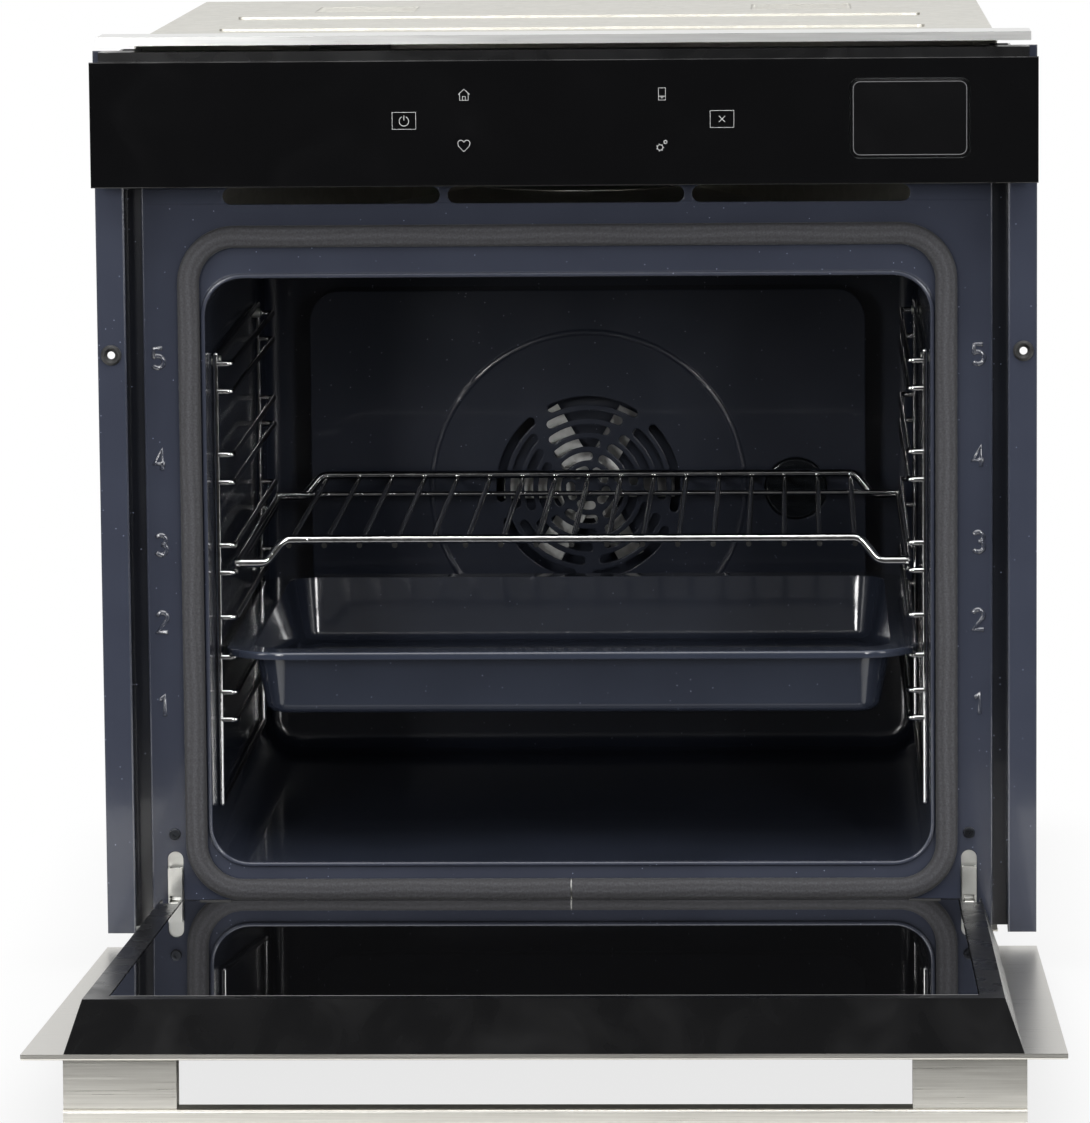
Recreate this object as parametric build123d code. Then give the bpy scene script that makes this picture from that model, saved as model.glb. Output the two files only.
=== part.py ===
"""Built-in wall oven with a drop-down door and a water drawer, one STEP file per piece.

Millimetres. +X is right, +Y goes into the oven, +Z is up. The origin lies on the base plane,
on the centre line, at the cabinet front. The door is drawn shut and then turned to its open rest.
"""
from build123d import *
import math
import os

# How far a cutter runs past the face it cuts
over = 1.0

# Front and casing
front_width = 595.0
casing_inset = 6.5
casing_top_gap = 4.0
rear_space = 34.5
casing_sheet = 1.0
enamel_sheet = 1.5
trim_flange = 18.0
trim_channel = 9.5
face_setback = 16.5
face_edge = 7.7
face_lap = 2.0
niche_screw_inset = 8.5
niche_screw_height = 373.0
niche_hole_radius = 2.5
bush_radius = 6.5
bush_lip = 2.0
bush_seat_radius = 4.6
bush_play = 0.2
bush_chamfer = 1.2
bush_dish = 2.0
vent_width = 6.0
base_vent_length = 90.0
base_vent_pitch = 60.0
base_vents = 5
rear_vent_length = 120.0
rear_vent_pitch = 14.0
rear_vents = 8
top_vent_length = 70.0
top_vent_pitch = 12.0
top_vent_x = 150.0
top_vents = 6
top_bead_length = 460.0
top_bead_width = 10.0
top_bead_rise = 1.5
top_bead_places = (150.0, 300.0)

# Control panel
fascia_gap = 1.0
fascia_height = 79.0
fascia_glass_thick = 4.0
glass_chamfer = 0.5
fascia_front = 26.0
carrier_inset = 5.5
carrier_rise = 6.0
top_trim_overhang = 1.0
top_carrier_top = 5.5
top_trim_reach = 22.0
top_trim_lap = 18.0
display_width = 125.0
display_height = 42.0
display_thick = 6.0
board_gap = 24.2
board_height = 56.0
board_thick = 1.6
board_post_inset = 6.0
board_post_radius = 3.0

# Water drawer
drawer_inset = 80.3
drawer_rise = 41.0
flap_width = 74.0
flap_height = 49.0
flap_corner = 5.0
flap_gap = 0.8
flap_thick = 6.0
tank_width = 66.0
tank_height = 38.0
tank_length = 160.0
tank_wall = 2.0
housing_wall = 2.0
slide_play = 0.3

# Cavity
mouth_margin = 39.5
mouth_height = 377.0
mouth_bottom = 43.0
mouth_corner = 24.0
mouth_lip = 2.8
mouth_lip_rise = 2.0
mouth_lip_round = 1.2
cavity_depth = 447.0
cavity_back_fillet = 12.0
gasket_width = 14.0
gasket_thick = 7.0
gasket_offset = 10.2
gasket_below = 17.3
gasket_above = 26.8
gasket_corner = 30.0
gasket_round = 3.0

# Cooling slots in the face frame
slot_height = 10.8
slot_rise = 52.3
slot_inset = 12.5
slot_bridge = 5.0
slot_land = 0.5
slot_middle_length = 150.0

# Fan, its cover and heaters
fan_rise = 191.0
cover_side_gap = 36.5
cover_top_gap = 47.0
cover_bottom_gap = 45.0
cover_corner = 21.0
cover_box_depth = 35.0
cover_sheet = 1.2
bead_ring_radius = 109.5
bead_radius = 2.8
bead_rise = 1.0
grille_rows = 6
grille_sectors = 5
grille_first_radius = 12.5
grille_row_pitch = 9.8
grille_slot_width = 6.0
grille_slot_angle = 61.0
grille_first_angle = 88.0
grille_twist = -6.4
fan_radius = 60.0
fan_blades = 6
fan_depth = 20.0
fan_hub_radius = 10.0
fan_sheet = 1.2
fan_disc_radius = 24.0
fan_blade_width = 20.0
fan_blade_pitch = 24.0
fan_blade_start = 18.0
fan_back_gap = 5.0
shaft_radius = 3.0
shaft_play = 0.05
shaft_hole_gap = 2.0
shaft_seat = 31.0
shaft_end_gap = 4.0
motor_hole_gap = 2.0
fan_motor_radius = 35.0
fan_motor_length = 44.0
motor_plate_size = 90.0
element_radius = 3.2
element_play = 0.3
ring_heater_radius = 84.0
ring_heater_legs = 24.0
heater_leg_reach = 12.0
grill_drop = 10.0
grill_side_gap = 55.5
grill_leg_x = 35.0
grill_loop_run = 165.0
element_rear_gap = 75.0
bottom_rear_gap = 5.0
grill_run = 290.0
bottom_side_gap = 80.5
bottom_front_gap = 72.0
element_bend = 18.0

# Lamp
lamp_inset = 48.7
lamp_drop = 1.0
lamp_radius = 21.6
lamp_glass_thick = 4.0
lamp_glass_round = 2.0
lamp_proud = 1.0
lamp_play = 0.4
lamp_cup_wall = 1.5
lamp_cup_depth = 46.0
bulb_radius = 8.0
bulb_length = 26.0
bulb_round = 5.5

# Side racks, shelf and tray
rack_wire = 1.9
rack_front_gap = 42.0
rack_rear_gap = 30.0
rack_head = 6.0
rack_foot = 31.0
rack_wall_gap = 0.6
rack_bend = 4.0
rung_inset = 10.5
rung_shares = (0.2281, 0.3369, 0.4828, 0.6393, 0.7958)
rung_openings = (18.0, 26.0, 18.0, 18.0, 18.0)
shelf_level_count = 3
tray_level_count = 2
stud_radius = 3.0
stud_reach = 5.0
stud_inset = 12.0
seat_gap = 0.3
shelf_wire = 2.8
shelf_bar = 1.8
shelf_front_gap = 12.0
shelf_rear_gap = 10.0
shelf_rise = 15.0
shelf_shoulder = 31.5
shelf_bend_run = 12.0
shelf_bend = 9.0
shelf_bars = 17
shelf_bar_margin = 2.8
shelf_bar_reach = 1.7
shelf_stop_inset = 12.0
tray_overlap = 6.5
tray_front_gap = 12.0
tray_rear_gap = 25.0
tray_corner = 40.0
tray_rim_width = 17.0
tray_rim_height = 5.0
tray_rim_round = 2.0
tray_drop = 39.0
tray_wall = 1.2
tray_draft = 8.0
tray_floor_round = 8.0

# Insulation, cooling blower and supply
wool_side = 14.0
wool_bottom = 14.0
wool_back = 15.0
wool_play = 0.4
shield_rise = 27.0
shield_rear_gap = 20.0
duct_height = 35.0
duct_lap = 4.0
duct_rear_half = 62.0
blower_rear_gap = 45.0
blower_radius = 78.0
blower_height = 46.0
blower_sheet = 1.5
wheel_radius = 62.0
wheel_blades = 16
wheel_blade_height = 28.0
wheel_blade_run = 12.0
wheel_gap = 4.0
inlet_radius = 46.0
bridge_width = 16.0
blower_motor_radius = 28.0
blower_motor_height = 34.0
blower_shaft_seat = 17.0
terminal_inset = 103.0
terminal_drop = 50.0
terminal_size = 56.0
terminal_height = 39.2
terminal_depth = 28.0
inlet_bore = 4.5
inlet_collar = 7.0
inlet_reach = 8.0

# Hinges
pivot_y = -13.0
pivot_z = 2.0
door_open_angle = 86.3
hinge_edge = 15.0
arm_thick = 6.0
arm_heel_drop = 11.0
arm_foot = 14.0
arm_neck = 10.0
arm_end_gap = 6.0
arm_shoulder = 2.0
clip_land = 3.0
clip_land_run = 4.0
neck_run = 12.0
knuckle_radius = 6.5
pin_radius = 3.0
pin_play = 0.05
cheek_thick = 1.5
cheek_gap = 0.5
casing_length = 200.0
casing_web_start = 28.0
casing_cheek_reach = 13.0
hinge_slot_width = 10.0
hinge_slot_top = 50.0
hinge_slot_bottom = 6.0
receiver_length = 58.0
receiver_sheet = 1.5
receiver_rise = 8.5
receiver_foot = 8.0
roller_radius = 3.0
roller_inset = 14.0
frame_screw_rise = 11.5
screw_radius = 2.0
screw_head_radius = 3.6
screw_head = 2.0
screw_play = 0.2
screw_tip = 4.0
screw_head_round = 0.8
screw_socket_radius = 1.6
screw_socket_floor = 0.6
clip_pivot_y = 13.0
clip_pivot_z = 15.0
clip_pin_radius = 1.5
clip_drop = 10.0
clip_depth = 5.0
clip_sheet = 1.0
clip_bridge_rise = 7.0
spring_radius = 3.3
spring_bore = 2.0
spring_length = 128.0

# Door, drawn shut
door_gap = 5.0
door_bottom = -5.0
door_panel_thick = 3.4
panel_round = 1.0
door_thick = 35.0
door_box_lap = 3.0
door_box_taper = 11.0
rail_wall = 1.5
rail_play = 0.5
rail_start = 1.0
arm_notch = 22.0
rail_end_gap = 1.0
top_rail_height = 14.0
glass_thick = 4.0
glass_play = 0.3
glass_ledge = 10.0
middle_glass_y = -8.0
window_side = 77.5
window_below = 70.0
window_above = 91.0
window_lap = 15.0
window_corner = 8.0
bottom_rail_height = 8.0
handle_inset = 22.5
handle_bar_height = 20.0
handle_bar_thick = 10.0
handle_round = 2.5
handle_standoff = 30.0
handle_post_width = 65.0
handle_post_height = 16.0
handle_drop = 24.0
handle_screw_inset = 58.0
handle_screw_spread = 22.0
handle_screw_reach = 12.0
handle_hole_extra = 3.0


def block(x, y, z):
    """A box between the two ends given for each axis."""
    size = [pair[1] - pair[0] for pair in (x, y, z)]
    middle = [(pair[0] + pair[1]) / 2 for pair in (x, y, z)]
    return Pos(*middle) * Box(*size)


def along_y(sketch, near, far):
    """A sketch in X and Z, made solid from one Y to the other."""
    return extrude(Plane.XZ.offset(-far) * sketch, amount=far - near)


def along_x(sketch, left, right):
    """A sketch in Y and Z, made solid from one X to the other."""
    return extrude(Plane.YZ.offset(left) * sketch, amount=right - left)


def along_z(sketch, low, high):
    """A sketch in X and Y, made solid from one Z to the other."""
    return extrude(Plane.XY.offset(low) * sketch, amount=high - low)


def round_y(x, z, radius, near, far):
    """A round bar along Y at x and z."""
    return along_y(Pos(x, z) * Circle(radius), near, far)


def outline(*points):
    """A flat face with straight sides."""
    return make_face(Polyline(*points, close=True))


def rounded(width, height, corner, x=0.0, z=0.0):
    """A rectangle with round corners, centred at x and z."""
    return Pos(x, z) * RectangleRounded(width, height, corner)


def rod(start, end, radius):
    """A straight round bar between two points."""
    axis = Vector(*end) - Vector(*start)
    return extrude(Plane(Vector(*start), z_dir=axis) * Circle(radius), amount=axis.length)


def bent_rod(points, bend, radius):
    """A round bar along straight runs that are joined by arcs."""
    path = FilletPolyline(*points, radius=bend)
    return sweep(Plane(path @ 0, z_dir=path % 0) * Circle(radius), path=path)


def mirrored(shape):
    """The same piece on the other side of the centre line."""
    return shape.mirror(Plane.YZ)


def pair(shape):
    """A piece and its mirror image, as two separate solids."""
    return Compound(children=[shape, mirrored(shape)])


# Places that several pieces share, across
half_front = front_width / 2
flange_inner = half_front - trim_flange
half_casing = flange_inner - casing_inset
casing_inner = half_casing - casing_sheet
half_face = flange_inner - trim_channel
half_mouth = half_face - mouth_margin
mouth_width = 2 * half_mouth
niche_screw_x = half_front - niche_screw_inset
half_carrier = half_front - carrier_inset
drawer_x = half_front - drawer_inset
slot_end_x = half_mouth - slot_inset
half_cover = half_mouth - cover_side_gap
lamp_x = half_cover - lamp_inset
rack_x = half_mouth - rack_wall_gap - rack_wire
rung_x = rack_x - rung_inset
terminal_x = terminal_inset - half_casing
hinge_x = half_face - hinge_edge

# Upwards
mouth_top = mouth_bottom + mouth_height
mouth_z = mouth_bottom + mouth_height / 2
slot_z = mouth_top + slot_rise
face_height = slot_z + face_edge
fascia_bottom = face_height + fascia_gap
fascia_top = fascia_bottom + fascia_height
carrier_top = fascia_top + carrier_rise
casing_height = carrier_top + casing_top_gap
drawer_z = fascia_bottom + drawer_rise
fan_z = mouth_bottom + fan_rise
lamp_z = fan_z - lamp_drop
heater_leg_z = fan_z - math.sqrt(ring_heater_radius ** 2 - (ring_heater_legs / 2) ** 2)
grill_z = mouth_top - grill_drop
shield_z = mouth_top + shield_rise
shield_top = shield_z + casing_sheet
terminal_z = casing_height - terminal_drop
frame_screw_z = hinge_slot_top + frame_screw_rise

# Into the oven
face_back = face_setback + enamel_sheet
fascia_back = -fascia_front + fascia_glass_thick
carrier_back = fascia_back + enamel_sheet
cavity_back = face_back + cavity_depth
cavity_outer_back = cavity_back + enamel_sheet
casing_depth = cavity_outer_back + fan_motor_length + rear_space
cover_front = cavity_back - cover_box_depth
blower_y = cavity_back - blower_rear_gap
hinge_axis = Axis((0, pivot_y, pivot_z), (1, 0, 0))


# Casing sheets
def vent_slots(length, pitch, count):
    """Places of a column of round-ended air slots, centred, and the slot itself."""
    slot = SlotOverall(length, vent_width)
    return [(pitch * (n - (count - 1) / 2), slot) for n in range(count)]


def base_plate():
    """Flat galvanised floor of the casing, with cooling slots."""
    plate = block((-half_casing, half_casing), (0, casing_depth), (0, casing_sheet))
    vents = [
        along_z(Pos(0, casing_depth / 2 + place) * slot, -over, casing_sheet + over)
        for place, slot in vent_slots(base_vent_length, base_vent_pitch, base_vents)
    ]
    return plate - vents


def side_panel():
    """Right side sheet of the casing."""
    return block(
        (casing_inner, half_casing),
        (face_back + enamel_sheet, casing_depth),
        (casing_sheet, casing_height - casing_sheet),
    )


def rear_cover():
    """Back sheet with its air slots and the hole for the cable inlet."""
    near, far = casing_depth - casing_sheet, casing_depth
    sheet = block((-casing_inner, casing_inner), (near, far), (casing_sheet, casing_height - casing_sheet))
    cuts = [
        along_y(Pos(0, fan_z + place) * slot, near - over, far + over)
        for place, slot in vent_slots(rear_vent_length, rear_vent_pitch, rear_vents)
    ]
    cuts.append(round_y(terminal_x, terminal_z, inlet_collar + screw_play, near - over, far + over))
    return sheet - cuts


def top_cover():
    """Pale galvanised top sheet with slots and two pressed beads."""
    low, high = casing_height - casing_sheet, casing_height
    sheet = block((-half_casing, half_casing), (0, casing_depth), (low, high))
    vents = [
        along_z(Pos(side * top_vent_x, blower_y + place) * slot, low - over, high + over)
        for side in (-1, 1)
        for place, slot in vent_slots(top_vent_length, top_vent_pitch, top_vents)
    ]
    bead = SlotOverall(top_bead_length, top_bead_width)
    beads = [along_z(Pos(0, y) * bead, high, high + top_bead_rise) for y in top_bead_places]
    return sheet - vents + beads


def top_trim():
    """Bright folded strip over the control panel, open below."""
    half = half_carrier + top_trim_overhang
    top = casing_height + top_carrier_top
    solid = block((-half, half), (-top_trim_reach, top_trim_lap), (casing_height, top))
    hollow = block(
        (-half - over, half + over),
        (-top_trim_reach + casing_sheet, top_trim_lap - casing_sheet),
        (casing_height - over, top - casing_sheet),
    )
    return solid - hollow


def side_trim():
    """Right upright: fixing flange, web and the narrow floor that laps the face frame."""
    flange = block((flange_inner, half_front), (-enamel_sheet, 0), (0, carrier_top))
    web = block((flange_inner, flange_inner + enamel_sheet), (0, face_back + enamel_sheet), (0, carrier_top))
    floor = block(
        (half_face - face_lap, flange_inner),
        (face_back, face_back + enamel_sheet),
        (casing_sheet, carrier_top),
    )
    bush_hole = round_y(niche_screw_x, niche_screw_height, bush_seat_radius + bush_play,
                        -enamel_sheet - over, over)
    return flange + web + floor - bush_hole


def niche_bush():
    """Conical plastic bush that takes the cabinet screw."""
    x, z = niche_screw_x, niche_screw_height
    head = round_y(x, z, bush_radius, -enamel_sheet - bush_lip, -enamel_sheet)
    head = chamfer(head.edges().filter_by(GeomType.CIRCLE).sort_by(Axis.Y)[0], bush_chamfer)
    sleeve = round_y(x, z, bush_seat_radius, -enamel_sheet, 0)
    bore = round_y(x, z, niche_hole_radius, -enamel_sheet - bush_lip - over, over)
    dish = Cone(niche_hole_radius, niche_hole_radius + bush_dish, bush_lip,
                align=(Align.CENTER, Align.CENTER, Align.MAX))
    dish = Pos(x, -enamel_sheet - bush_lip, z) * Rot(90, 0, 0) * dish
    return head + sleeve - bore - dish


# Front frame, gasket and cavity
def face_frame():
    """Enamelled front plate with the mouth, the cooling slots and the hinge slots.

    It is made of touching solids below, between and above the cooling slots.
    """
    near, far = face_setback - over, face_back + over
    mouth = rounded(mouth_width, mouth_height, mouth_corner, 0, mouth_z)
    lip_width, lip_height = mouth_width + 2 * mouth_lip, mouth_height + 2 * mouth_lip
    lip = rounded(lip_width, lip_height, mouth_corner + mouth_lip, 0, mouth_z) - mouth
    lip = along_y(lip, face_setback - mouth_lip_rise, face_setback)
    lip = fillet(lip.faces().sort_by(Axis.Y)[0].edges(), mouth_lip_round)
    side = slot_end_x - slot_middle_length / 2 - slot_bridge
    side_x = slot_end_x - side / 2
    spans = ((0.0, slot_middle_length), (side_x, side), (-side_x, side))
    slots = [along_y(Pos(x, slot_z) * SlotOverall(length, slot_height), near, far) for x, length in spans]
    reach = slot_height / 2 - slot_land
    heights = (casing_sheet, slot_z - reach, slot_z + reach, face_height)
    below, between, above = [
        block((-half_face, half_face), (face_setback, face_back), span) - slots
        for span in zip(heights, heights[1:])
    ]
    cuts = [along_y(mouth, near, far)]
    slot_length = hinge_slot_top - hinge_slot_bottom
    slot_middle = (hinge_slot_top + hinge_slot_bottom) / 2
    for x in (-hinge_x, hinge_x):
        hinge_slot = Rot(0, 0, 90) * SlotOverall(slot_length, hinge_slot_width)
        cuts.append(along_y(Pos(x, slot_middle) * hinge_slot, near, far))
        cuts.append(round_y(x, frame_screw_z, screw_radius + screw_play, near, far))
    return Compound(children=[below - cuts + lip, *between.solids(), above])


def door_gasket():
    """Braided rope seal round the mouth, with its edges rounded off."""
    width = mouth_width + 2 * gasket_offset
    height = mouth_height + gasket_below + gasket_above
    middle = mouth_z + (gasket_above - gasket_below) / 2
    half = gasket_width / 2
    outer = rounded(width + gasket_width, height + gasket_width, gasket_corner + half, 0, middle)
    inner = rounded(width - gasket_width, height - gasket_width, gasket_corner - half, 0, middle)
    ring = along_y(outer - inner, face_setback - gasket_thick, face_setback)
    front = ring.faces().sort_by(Axis.Y)[0]
    return fillet(front.edges(), gasket_round)


def cavity():
    """Enamelled oven cavity, open at the front, with the holes that the fan, lamp and heaters use."""
    wall = enamel_sheet
    outer = rounded(mouth_width + 2 * wall, mouth_height + 2 * wall, mouth_corner + wall, 0, mouth_z)
    outer = along_y(outer, face_back, cavity_outer_back)
    outer = fillet(outer.faces().sort_by(Axis.Y)[-1].edges(), cavity_back_fillet + wall)
    inner = rounded(mouth_width, mouth_height, mouth_corner, 0, mouth_z)
    inner = along_y(inner, face_back - over, cavity_back)
    inner = fillet(inner.faces().sort_by(Axis.Y)[-1].edges(), cavity_back_fillet)
    holes = [
        round_y(0, fan_z, shaft_radius + shaft_hole_gap, cavity_back - over, cavity_outer_back + over),
        round_y(lamp_x, lamp_z, lamp_radius + lamp_play, cavity_back - over, cavity_outer_back + over),
    ]
    for x in (-grill_leg_x, grill_leg_x):
        holes.append(round_y(x, grill_z, element_radius + element_play,
                             cavity_back - cavity_back_fillet, cavity_outer_back + over))
    for x in (-ring_heater_legs / 2, ring_heater_legs / 2):
        holes.append(round_y(x, heater_leg_z, element_radius + element_play,
                             cavity_back - over, cavity_outer_back + over))
    return outer - inner - holes


# Fan, its cover, the heaters and the lamp
def grille_slot(row, sector):
    """One round-ended arc slot of the fan cover's grille; each row is turned a little further."""
    radius = grille_first_radius + row * grille_row_pitch
    end_angle = math.degrees(grille_slot_width / 2 / radius)
    start = grille_first_angle + sector * 360 / grille_sectors + row * grille_twist + end_angle
    path = CenterArc((0, fan_z), radius, start, grille_slot_angle - 2 * end_angle)
    return SlotArc(path, grille_slot_width)


def fan_cover():
    """Pressed cover over the fan: a shallow box with the grille, a ring bead and the lamp hole."""
    width, height = 2 * half_cover, mouth_height - cover_top_gap - cover_bottom_gap
    middle = mouth_z + (cover_bottom_gap - cover_top_gap) / 2
    body = along_y(rounded(width, height, cover_corner, 0, middle), cover_front, cavity_back)
    inner_width, inner_height = width - 2 * cover_sheet, height - 2 * cover_sheet
    hollow = along_y(rounded(inner_width, inner_height, cover_corner - cover_sheet, 0, middle),
                     cover_front + cover_sheet, cavity_back + over)
    bead = Rot(90, 0, 0) * Torus(bead_ring_radius, bead_radius)
    bead = Pos(0, cover_front + bead_radius - bead_rise, fan_z) * bead
    lamp_hole = round_y(lamp_x, lamp_z, lamp_radius + lamp_play, cover_front - over, cavity_back)
    slots = [
        along_y(grille_slot(row, sector), cover_front - over, cover_front + cover_sheet + over)
        for row in range(grille_rows)
        for sector in range(grille_sectors)
    ]
    return body - hollow + bead - lamp_hole - slots


fan_back = cavity_back - fan_back_gap
fan_front = fan_back - fan_depth


def convection_fan():
    """Sheet-metal fan wheel: a hub, a small disc and paddle blades set at a pitch."""
    middle = (fan_front + fan_back) / 2
    disc = round_y(0, fan_z, fan_disc_radius, middle - fan_sheet / 2, middle + fan_sheet / 2)
    hub = round_y(0, fan_z, fan_hub_radius, fan_front, fan_back)
    half = fan_blade_width / 2
    paddle = block((fan_blade_start, fan_radius), (-fan_sheet / 2, fan_sheet / 2), (-half, half))
    blades = [
        Pos(0, middle, fan_z) * Rot(0, n * 360 / fan_blades, 0) * Rot(fan_blade_pitch, 0, 0) * paddle
        for n in range(fan_blades)
    ]
    bore = round_y(0, fan_z, shaft_radius + shaft_play / 2, fan_front - over, fan_back + over)
    return disc + hub + blades - bore


def fan_shaft():
    """Motor shaft that carries the fan wheel, from the hub into the motor."""
    return round_y(0, fan_z, shaft_radius, fan_front, cavity_outer_back + shaft_seat)


def fan_motor():
    """Fan motor on its square plate behind the cavity."""
    half = motor_plate_size / 2
    plate = block((-half, half), (cavity_outer_back, cavity_outer_back + enamel_sheet),
                  (fan_z - half, fan_z + half))
    can = round_y(0, fan_z, fan_motor_radius, cavity_outer_back + enamel_sheet,
                  cavity_outer_back + fan_motor_length)
    bore = round_y(0, fan_z, shaft_radius + shaft_play, cavity_outer_back - over,
                   cavity_outer_back + shaft_seat + shaft_end_gap)
    return plate + can - bore


def ring_heater():
    """Round heating element about the fan, with two legs out through the back wall."""
    y = (fan_front + fan_back) / 2
    half = ring_heater_legs / 2
    gap_angle = math.degrees(math.asin(half / ring_heater_radius))
    plane = Plane((0, y, fan_z), x_dir=(1, 0, 0), z_dir=(0, -1, 0))
    arc = plane * CenterArc((0, 0), ring_heater_radius, -90 + gap_angle, 360 - 2 * gap_angle)
    ring = sweep(Plane(arc @ 0, z_dir=arc % 0) * Circle(element_radius), path=arc)
    legs = []
    for side in (-1, 1):
        x = side * half
        legs.append(round_y(x, heater_leg_z, element_radius, y, cavity_outer_back + heater_leg_reach))
        legs.append(Pos(x, y, heater_leg_z) * Sphere(element_radius))
    return ring + legs


def grill_element():
    """Bent tube heater under the ceiling, held by its two legs in the back wall."""
    outer_x, inner_x = half_mouth - grill_side_gap, grill_leg_x * 2
    far, near, mid = cavity_back - element_rear_gap, cavity_back - grill_run, cavity_back - grill_loop_run
    tail = cavity_outer_back + element_bend
    left = [(-grill_leg_x, tail), (-grill_leg_x, far), (-outer_x, far), (-outer_x, near),
            (-inner_x, near), (-inner_x, mid)]
    right = [(-x, y) for x, y in reversed(left)]
    return bent_rod([(x, y, grill_z) for x, y in left + right], element_bend, element_radius)


bottom_element_z = mouth_bottom - enamel_sheet - element_play - element_radius


def bottom_element():
    """Bent tube heater that lies under the cavity floor."""
    outer_x = half_mouth - bottom_side_gap
    far, near = cavity_back - element_rear_gap, face_back + bottom_front_gap
    tail = cavity_back - bottom_rear_gap
    left = [(-grill_leg_x, tail), (-grill_leg_x, far), (-outer_x, far), (-outer_x, near)]
    right = [(-x, y) for x, y in reversed(left)]
    return bent_rod([(x, y, bottom_element_z) for x, y in left + right], element_bend, element_radius)


lamp_front = cover_front - lamp_proud
lamp_cup_front = lamp_front + lamp_glass_thick
lamp_cup_back = lamp_cup_front + lamp_cup_depth


def lamp_glass():
    """Round lens of the oven lamp, a little proud of the fan cover."""
    lens = round_y(lamp_x, lamp_z, lamp_radius, lamp_front, lamp_cup_front)
    rim = lens.faces().sort_by(Axis.Y)[0].edges()
    return fillet(rim, lamp_glass_round)


def lamp_holder():
    """Metal cup behind the lens, through the back wall, closed at its far end."""
    centre = Pos(lamp_x, lamp_z)
    cup = along_y(centre * Circle(lamp_radius), lamp_cup_front, lamp_cup_back)
    return cup - along_y(centre * Circle(lamp_radius - lamp_cup_wall), lamp_cup_front - over,
                         lamp_cup_back - lamp_cup_wall)


def lamp_bulb():
    """Small capsule bulb on the floor of the cup."""
    seat = lamp_cup_back - lamp_cup_wall
    bulb = round_y(lamp_x, lamp_z, bulb_radius, seat - bulb_length, seat)
    return fillet(bulb.faces().sort_by(Axis.Y)[0].edges(), bulb_round)


# Racks, shelf and tray
rack_front = face_back + rack_front_gap
rack_rear = cover_front - rack_rear_gap
rung_lows = [mouth_bottom + share * mouth_height for share in rung_shares]
rung_heights = rung_lows + [low + opening for low, opening in zip(rung_lows, rung_openings)]
rack_bottom = mouth_bottom + rack_foot
rack_top = max(rung_heights) + rack_head


def side_rack():
    """Right chromed ladder: two uprights joined by bars, with a pair of runners for each level."""
    ends = (rack_front, rack_rear)
    wires = [rod((rack_x, y, rack_bottom), (rack_x, y, rack_top), rack_wire) for y in ends]
    for z in (rack_bottom, rack_top):
        wires.append(rod((rack_x, rack_front, z), (rack_x, rack_rear, z), rack_wire))
        wires += [Pos(rack_x, y, z) * Sphere(rack_wire) for y in ends]
    for z in rung_heights:
        runner = [(rack_x, rack_front, z), (rung_x, rack_front, z),
                  (rung_x, rack_rear, z), (rack_x, rack_rear, z)]
        wires.append(bent_rod(runner, rack_bend, rack_wire))
    rack = wires[0]
    return rack + wires[1:]


def rack_studs():
    """Wall studs that the top bars of the racks hang on."""
    z = rack_top - rack_wire - stud_radius - seat_gap / 2
    studs = []
    for y in (rack_front + stud_inset, rack_rear - stud_inset):
        stud = rod((half_mouth, y, z), (half_mouth - stud_reach, y, z), stud_radius)
        studs += [stud, mirrored(stud)]
    return Compound(children=studs)


shelf_z = rung_lows[shelf_level_count - 1] + rack_wire + seat_gap + shelf_wire
shelf_front = rack_front + shelf_front_gap
shelf_back = cover_front - shelf_rear_gap
shelf_flat_half = rung_x - shelf_shoulder


def wire_shelf():
    """Chromed shelf: a stepped wire at each end, two side wires, bars from front to back and a rear stop."""
    top = shelf_z + shelf_rise
    step = shelf_flat_half + shelf_bend_run
    wires = []
    for y in (shelf_front, shelf_back):
        points = [(-rung_x, y, shelf_z), (-step, y, shelf_z), (-shelf_flat_half, y, top),
                  (shelf_flat_half, y, top), (step, y, shelf_z), (rung_x, y, shelf_z)]
        wires.append(bent_rod(points, shelf_bend, shelf_wire))
    for x in (-rung_x, rung_x):
        wires.append(rod((x, shelf_front, shelf_z), (x, shelf_back, shelf_z), shelf_wire))
        wires += [Pos(x, y, shelf_z) * Sphere(shelf_wire) for y in (shelf_front, shelf_back)]
    bar_z = top - shelf_wire - shelf_bar / 2
    bar_half = shelf_flat_half - shelf_bar_margin
    for n in range(shelf_bars):
        x = bar_half * (2 * n / (shelf_bars - 1) - 1)
        wires.append(round_y(x, bar_z, shelf_bar, shelf_front - shelf_bar_reach,
                             shelf_back + shelf_bar_reach))
    stop_y, stop_z = shelf_back - shelf_stop_inset, shelf_z + shelf_wire
    wires.append(rod((-rung_x, stop_y, stop_z), (rung_x, stop_y, stop_z), shelf_bar))
    return wires[0] + wires[1:]


tray_rim_z = rung_lows[tray_level_count - 1] + rack_wire + seat_gap
tray_half_width = rung_x + tray_overlap
tray_front = face_back + tray_front_gap
tray_back = cover_front - tray_rear_gap
tray_depth = tray_back - tray_front
tray_y = (tray_front + tray_back) / 2


def tray_well(inset, floor, top):
    """Tapered well of the tray with a rounded floor edge, drawn in by an inset all round."""
    width = 2 * (tray_half_width - tray_rim_width - inset)
    depth = tray_depth - 2 * (tray_rim_width + inset)
    corner = tray_corner - tray_rim_width - inset
    downward = Plane((0, tray_y, top), x_dir=(1, 0, 0), z_dir=(0, 0, -1))
    mouth = downward * RectangleRounded(width, depth, corner)
    taper = math.degrees(math.atan(tray_draft / tray_drop))
    well = extrude(mouth, amount=top - floor, taper=taper)
    return fillet(well.faces().sort_by(Axis.Z)[0].edges(), tray_floor_round - inset)


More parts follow.
